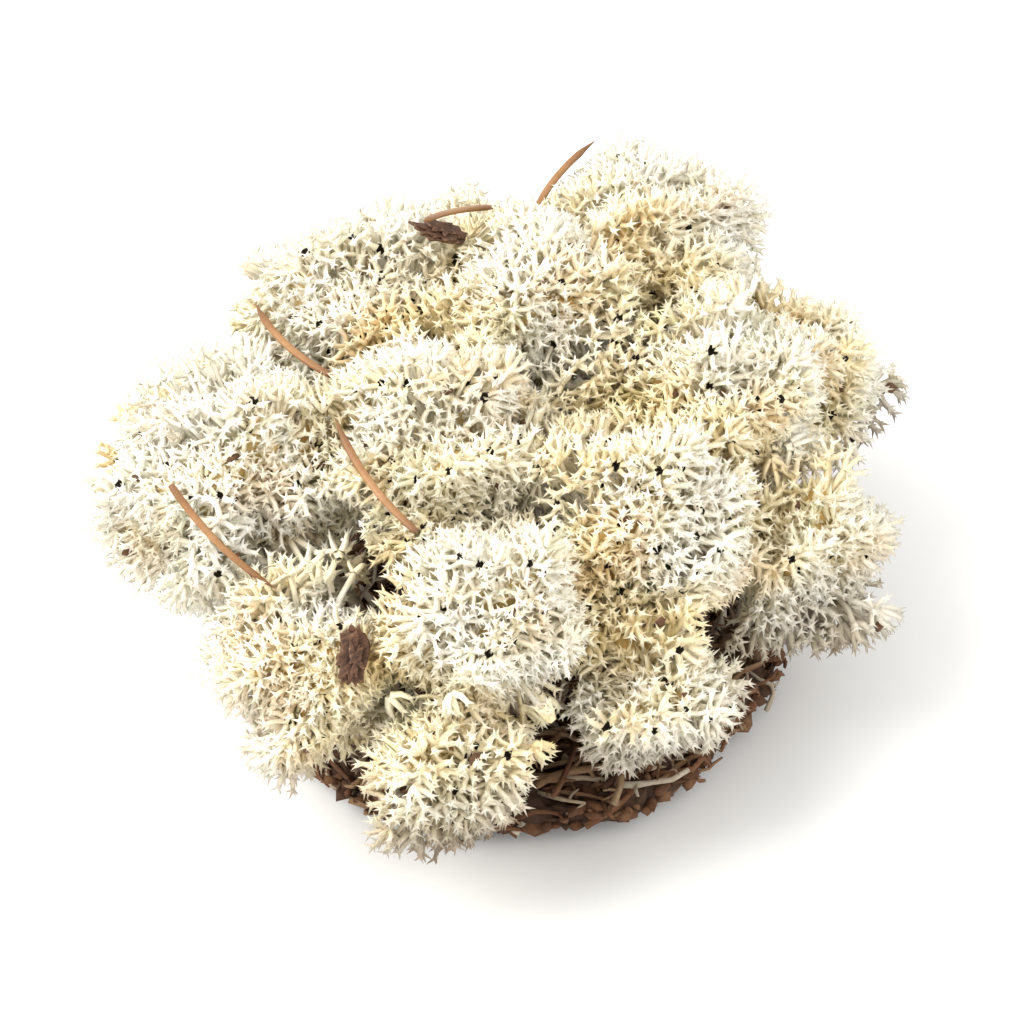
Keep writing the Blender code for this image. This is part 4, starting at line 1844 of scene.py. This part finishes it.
    def add_crumbs(self) -> None:
        """Adds crumbs of peat and scraps of leaf and bark."""
        local, faces = ball_directions(1)
        count = self.crumbs
        turns = self.draw.uniform(0, math.tau, count)
        shares = self.draw.uniform(0.1, 1.0, count) ** 0.38
        at_rim = self.draw.uniform(0, 1, count) < self.rim_crumb_share
        shares = np.where(at_rim, self.draw.uniform(0.97, 1.01, count), shares)
        reach = self.rim(turns) * shares - 0.3
        middle = np.stack([np.cos(turns) * reach, np.sin(turns) * reach, np.zeros(count)], axis=1)
        foot, top = self.heights(middle)
        size = self.draw.uniform(*self.crumb_sizes, count)
        drop = self.draw.uniform(0, 1, count) * np.clip((shares - 0.88) / 0.08, 0, 1)
        middle[:, 2] = np.minimum(top + self.draw.uniform(-0.5, 0.3, count), self.ceiling - size)
        middle[:, 2] += (foot + size * 0.5 - middle[:, 2]) * drop
        stretch = np.stack([self.draw.uniform(0.6, 1.6, count), self.draw.uniform(0.5, 1.1, count),
                            self.draw.uniform(0.25, 0.7, count)], axis=1)
        lumps = 1 + 0.3 * self.draw.normal(0, 1, (count, len(local), 1))
        body = local[None] * stretch[:, None] * lumps * size[:, None, None]
        spin = self.draw.uniform(0, math.tau, count)
        cosine, sine = np.cos(spin)[:, None], np.sin(spin)[:, None]
        x = body[..., 0] * cosine - body[..., 1] * sine
        y = body[..., 0] * sine + body[..., 1] * cosine
        points = np.stack([x, y, body[..., 2]], axis=2) + middle[:, None]
        points[..., 2] = np.clip(points[..., 2], self.floor, self.ceiling)
        tint = np.clip(self.draw.normal(0.3, 0.17, count), 0, 0.62)
        values = {Shade.TINT: np.repeat(tint, len(local)), Shade.DEPTH: 0.2}
        self.surface.add_copies(points, faces, values)

    def build(self, material: bpy.types.Material) -> bpy.types.Object:
        """Makes the mat.

        Args:
            material: Its finish.

        Returns:
            The finished piece.
        """
        self.add_pad()
        self.add_stems()
        self.add_crumbs()
        return self.surface.piece("forest_litter", material)


@dataclass
class PineNeedle:
    """A dry pine needle that lies where its solid lies."""

    number: int
    rings: int = 7
    steps: int = 36
    sides: int = 8
    radius: float = 0.4
    groove: float = 0.35
    flatness: float = 0.8
    tip_length: float = 0.15

    def path(self) -> Array:
        """The needle's middle line, read from its solid.

        Returns:
            Points, (steps, 3).
        """
        points = node_points(f"pine_needle_{self.number}")
        middle = points.mean(axis=0)
        along = np.linalg.svd(points - middle)[2][0]
        place = (points - middle) @ along
        share = (place - place.min()) / (place.max() - place.min())
        ring = np.clip(np.round(share * (self.rings - 1)), 0, self.rings - 1).astype(int)
        centres = np.array([points[ring == n].mean(axis=0) for n in range(self.rings)])
        at = np.linspace(0, self.rings - 1, self.steps)
        fits = [np.polyfit(np.arange(self.rings), centres[:, k], 2) for k in range(3)]
        return np.stack([np.polyval(fit, at) for fit in fits], axis=1)

    def build(self, material: bpy.types.Material) -> bpy.types.Object:
        """Makes the needle.

        Args:
            material: Its finish.

        Returns:
            The finished piece.
        """
        surface = Surface()
        path = self.path()
        share = np.linspace(0, 1, self.steps)
        taper = np.minimum(1.0, (1 - share) * 5 + 0.12) * np.minimum(1.0, 0.8 + share * 4)
        ahead = unit(np.gradient(path, axis=0))
        side = unit(np.cross(ahead, (0.0, 0.0, 1.0)))
        up = np.cross(side, ahead)
        turns = np.arange(self.sides) * math.tau / self.sides
        deep = 1 - self.groove * np.maximum(0, np.cos(turns - math.pi / 2)) ** 3
        high = np.sin(turns) * self.flatness
        ring = side[:, None] * np.cos(turns)[None, :, None] + up[:, None] * high[None, :, None]
        points = path[:, None] + ring * (deep[None] * taper[:, None] * self.radius)[..., None]
        tip = path[-1] + ahead[-1] * self.tip_length
        points = np.concatenate([points.reshape(-1, 3), tip[None]])
        length_tone = 0.35 + 0.6 * np.sin(np.clip(share * 1.15, 0, 1) * math.pi)
        tint = np.append(np.repeat(length_tone, self.sides), 0.2)
        surface.add(points, tube_faces(self.steps, self.sides, False)[:, ::-1], {Shade.TINT: tint})
        return surface.piece(f"dry_needle_{self.number}", material)


@dataclass
class BarkFlake:
    """A scale of bark, made of thin torn layers, that lies where its solid lies."""

    number: int
    layers: int = 3
    segments: int = 56
    rings: int = 7
    thickness: float = 0.9
    raggedness: float = 0.75
    squareness: float = 3.2
    shrink: float = 0.2
    slip: float = 0.35

    def build(self, material: bpy.types.Material) -> bpy.types.Object:
        """Makes the flake.

        Args:
            material: Its finish.

        Returns:
            The finished piece.
        """
        points = node_points(f"bark_flake_{self.number}")
        middle = points.mean(axis=0)
        along, across_it, up = np.linalg.svd(points - middle)[2]
        up = up if up[2] > 0 else -up
        across_it = np.cross(up, along)
        flat = points - middle
        reach = (np.abs(flat @ along).max(), np.abs(flat @ across_it).max())
        surface = Surface()
        draw = np.random.RandomState(40 + self.number)
        for layer in range(self.layers):
            low = self.thickness * (layer / self.layers - 0.5)
            size = 1 - self.shrink * layer
            shift = draw.normal(0, self.slip, 2) * (layer > 0)
            self.add_layer(surface, middle, (along, across_it, up), reach, (low, size, shift))
        return surface.piece(f"bark_scale_{self.number}", material)

    def add_layer(self, surface: Surface, middle: Array, axes: tuple, reach: tuple, place: tuple) -> None:
        """Adds one thin torn layer.

        Args:
            surface: Where it is added.
            middle: The flake's middle.
            axes: Unit vectors along, across and up.
            reach: Half the flake's length and width.
            place: Height of the layer's underside, its size as a share, and its shift along and across.
        """
        low, size, shift = place
        along, across_it, up = axes
        turns = np.arange(self.segments) * math.tau / self.segments
        ring = np.stack([np.cos(turns), np.sin(turns), turns * 0 + low * 3], axis=1)
        power = self.squareness
        torn = (np.abs(ring[:, :2]) ** power).sum(axis=1) ** (-1 / power)
        bites = self.raggedness * np.abs(rough(ring * 3, 2.4, 2))
        torn = torn * (0.88 - bites + 0.05 * rough(ring * 3, 0.5, 2))
        shares = np.linspace(0, 1, self.rings + 1)[1:]
        x = np.append(0.0, (shares[:, None] * np.cos(turns) * torn).ravel() * reach[0] * size)
        y = np.append(0.0, (shares[:, None] * np.sin(turns) * torn).ravel() * reach[1] * size)
        flat = np.stack([x, y, np.full_like(x, low)], axis=1)
        wave = rough(flat, 1.6) * 0.1
        thick = self.thickness / self.layers * 0.8
        worn = 0.3 + 0.55 * np.append(0.0, np.repeat(shares, self.segments)) ** 4
        faces = disc_faces(self.rings, self.segments)
        for side in (0, 1):
            height = low + thick * side + wave
            height = np.clip(height, -self.thickness / 2, self.thickness / 2)
            points = middle + along * (x + shift[0])[:, None] + across_it * (y + shift[1])[:, None]
            points = points + up * height[:, None]
            surface.add(points, faces if side else faces[:, ::-1], {Shade.TINT: worn})
        high = surface.count - self.segments
        surface.join(rim_faces(high - len(x), high, self.segments))


# Studio


@dataclass(frozen=True)
class SoftLight:
    """A square light. Its place and size are in metres, and its power is in watts."""

    name: str
    place: tuple
    size: float
    power: float
    colour: tuple


KEY_LIGHT = SoftLight(name="key", place=(-0.5, 0.3, 0.85), size=0.8, power=13.0, colour=(1.0, 0.98, 0.94))
FILL_LIGHT = SoftLight(name="fill", place=(0.3, -0.8, 0.6), size=0.8, power=4.0, colour=(1.0, 0.98, 0.95))


@dataclass
class Studio:
    """Pale floor, soft light and the camera at the photograph's viewing angle. Lengths are in metres."""

    sight: tuple = (0.4174, 0.5928, -0.6887)
    up: tuple = (0.5024, 0.4806, 0.7182)
    target: tuple = (0.0, 0.0, 0.021)
    distance: float = 1.37
    lens: float = 500.0
    floor_radius: float = 4.0
    floor_sides: int = 96
    surroundings: float = 1.16

    def add_camera(self) -> None:
        """Adds the camera."""
        data = bpy.data.cameras.new("camera")
        data.lens = self.lens
        data.clip_end = 20.0
        camera = bpy.data.objects.new("camera", data)
        sight = Vector(self.sight).normalized()
        up = Vector(self.up)
        right = sight.cross(up).normalized()
        up = right.cross(sight)
        matrix = Matrix((right, up, -sight)).transposed().to_4x4()
        matrix.translation = Vector(self.target) - sight * self.distance
        camera.matrix_world = matrix
        bpy.context.scene.collection.objects.link(camera)
        bpy.context.scene.camera = camera

    def add_light(self, light: SoftLight) -> None:
        """Adds a soft light that faces the clump.

        Args:
            light: The light.
        """
        data = bpy.data.lights.new(light.name, "AREA")
        data.size = light.size
        data.energy = light.power
        data.color = light.colour
        made = bpy.data.objects.new(light.name, data)
        made.location = light.place
        made.rotation_mode = "QUATERNION"
        made.rotation_quaternion = (Vector(self.target) - Vector(light.place)).to_track_quat("-Z", "Y")
        bpy.context.scene.collection.objects.link(made)

    def add_world(self) -> None:
        """Adds the even white surroundings."""
        world = bpy.data.worlds.new("surroundings")
        world.use_nodes = True
        background = world.node_tree.nodes["Background"]
        background.inputs["Color"].default_value = (1.0, 1.0, 1.0, 1.0)
        background.inputs["Strength"].default_value = self.surroundings
        bpy.context.scene.world = world

    def add_floor(self, material: bpy.types.Material) -> None:
        """Adds the round floor.

        Args:
            material: Its finish.
        """
        made = bmesh.new()
        bmesh.ops.create_circle(made, cap_ends=True, segments=self.floor_sides, radius=self.floor_radius)
        mesh = bpy.data.meshes.new("floor")
        made.to_mesh(mesh)
        made.free()
        mesh.materials.append(material)
        floor = bpy.data.objects.new("floor", mesh)
        bpy.context.scene.collection.objects.link(floor)
        floor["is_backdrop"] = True

    def build(self, material: bpy.types.Material) -> None:
        """Adds everything round the clump.

        Args:
            material: The floor's finish.
        """
        self.add_floor(material)
        self.add_world()
        self.add_light(KEY_LIGHT)
        self.add_light(FILL_LIGHT)
        self.add_camera()
        bpy.context.scene.view_settings.view_transform = "Standard"


@dataclass
class Clump:
    """The whole clump: its heads, its mat and what has fallen on it."""

    packed: tuple
    head_rows: tuple = HEADS
    overhang: float = 0.65

    def settle(self, piece: bpy.types.Object, node: str) -> None:
        """Puts a finished piece in its node's place.

        Args:
            piece: The piece.
            node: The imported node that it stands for.
        """
        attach(piece, BODY)
        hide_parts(node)
        LOG.info("%s: %d triangles", piece.name, len(piece.data.polygons))

    def build(self) -> None:
        """Builds and places every piece."""
        envelopes = [Envelope(n, np.array(row[:3]), row[3]) for n, row in enumerate(self.head_rows, 1)]
        lichen = LichenFinish().build()
        rests = [Rest(f"pine_needle_{n}") for n in range(1, NEEDLE_COUNT + 1)]
        rests += [Rest(f"bark_flake_{n}") for n in range(1, FLAKE_COUNT + 1)]
        limits = np.array(self.packed) / MM + np.array(((-1.0,), (1.0,))) * self.overhang
        for envelope in envelopes:
            envelope.part_from(envelopes, rests, limits)
        cushion = Cushion(envelopes)
        for envelope in envelopes:
            piece = LichenHead(envelope, cushion.near(envelope)).build(lichen)
            self.settle(piece, f"lichen_head_{envelope.number:02d}")
        self.settle(LitterMat().build(LitterFinish().build()), "litter_mat")
        needle = NeedleFinish().build()
        for number in range(1, NEEDLE_COUNT + 1):
            self.settle(PineNeedle(number).build(needle), f"pine_needle_{number}")
        bark = BarkFinish().build()
        for number in range(1, FLAKE_COUNT + 1):
            self.settle(BarkFlake(number).build(bark), f"bark_flake_{number}")


def main() -> None:
    """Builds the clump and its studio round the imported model."""
    logging.basicConfig(level=logging.INFO, format="%(name)s %(message)s")
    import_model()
    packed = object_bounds()
    Clump(packed).build()
    Studio().build(FloorFinish().build())


if __name__ == "__main__":
    main()
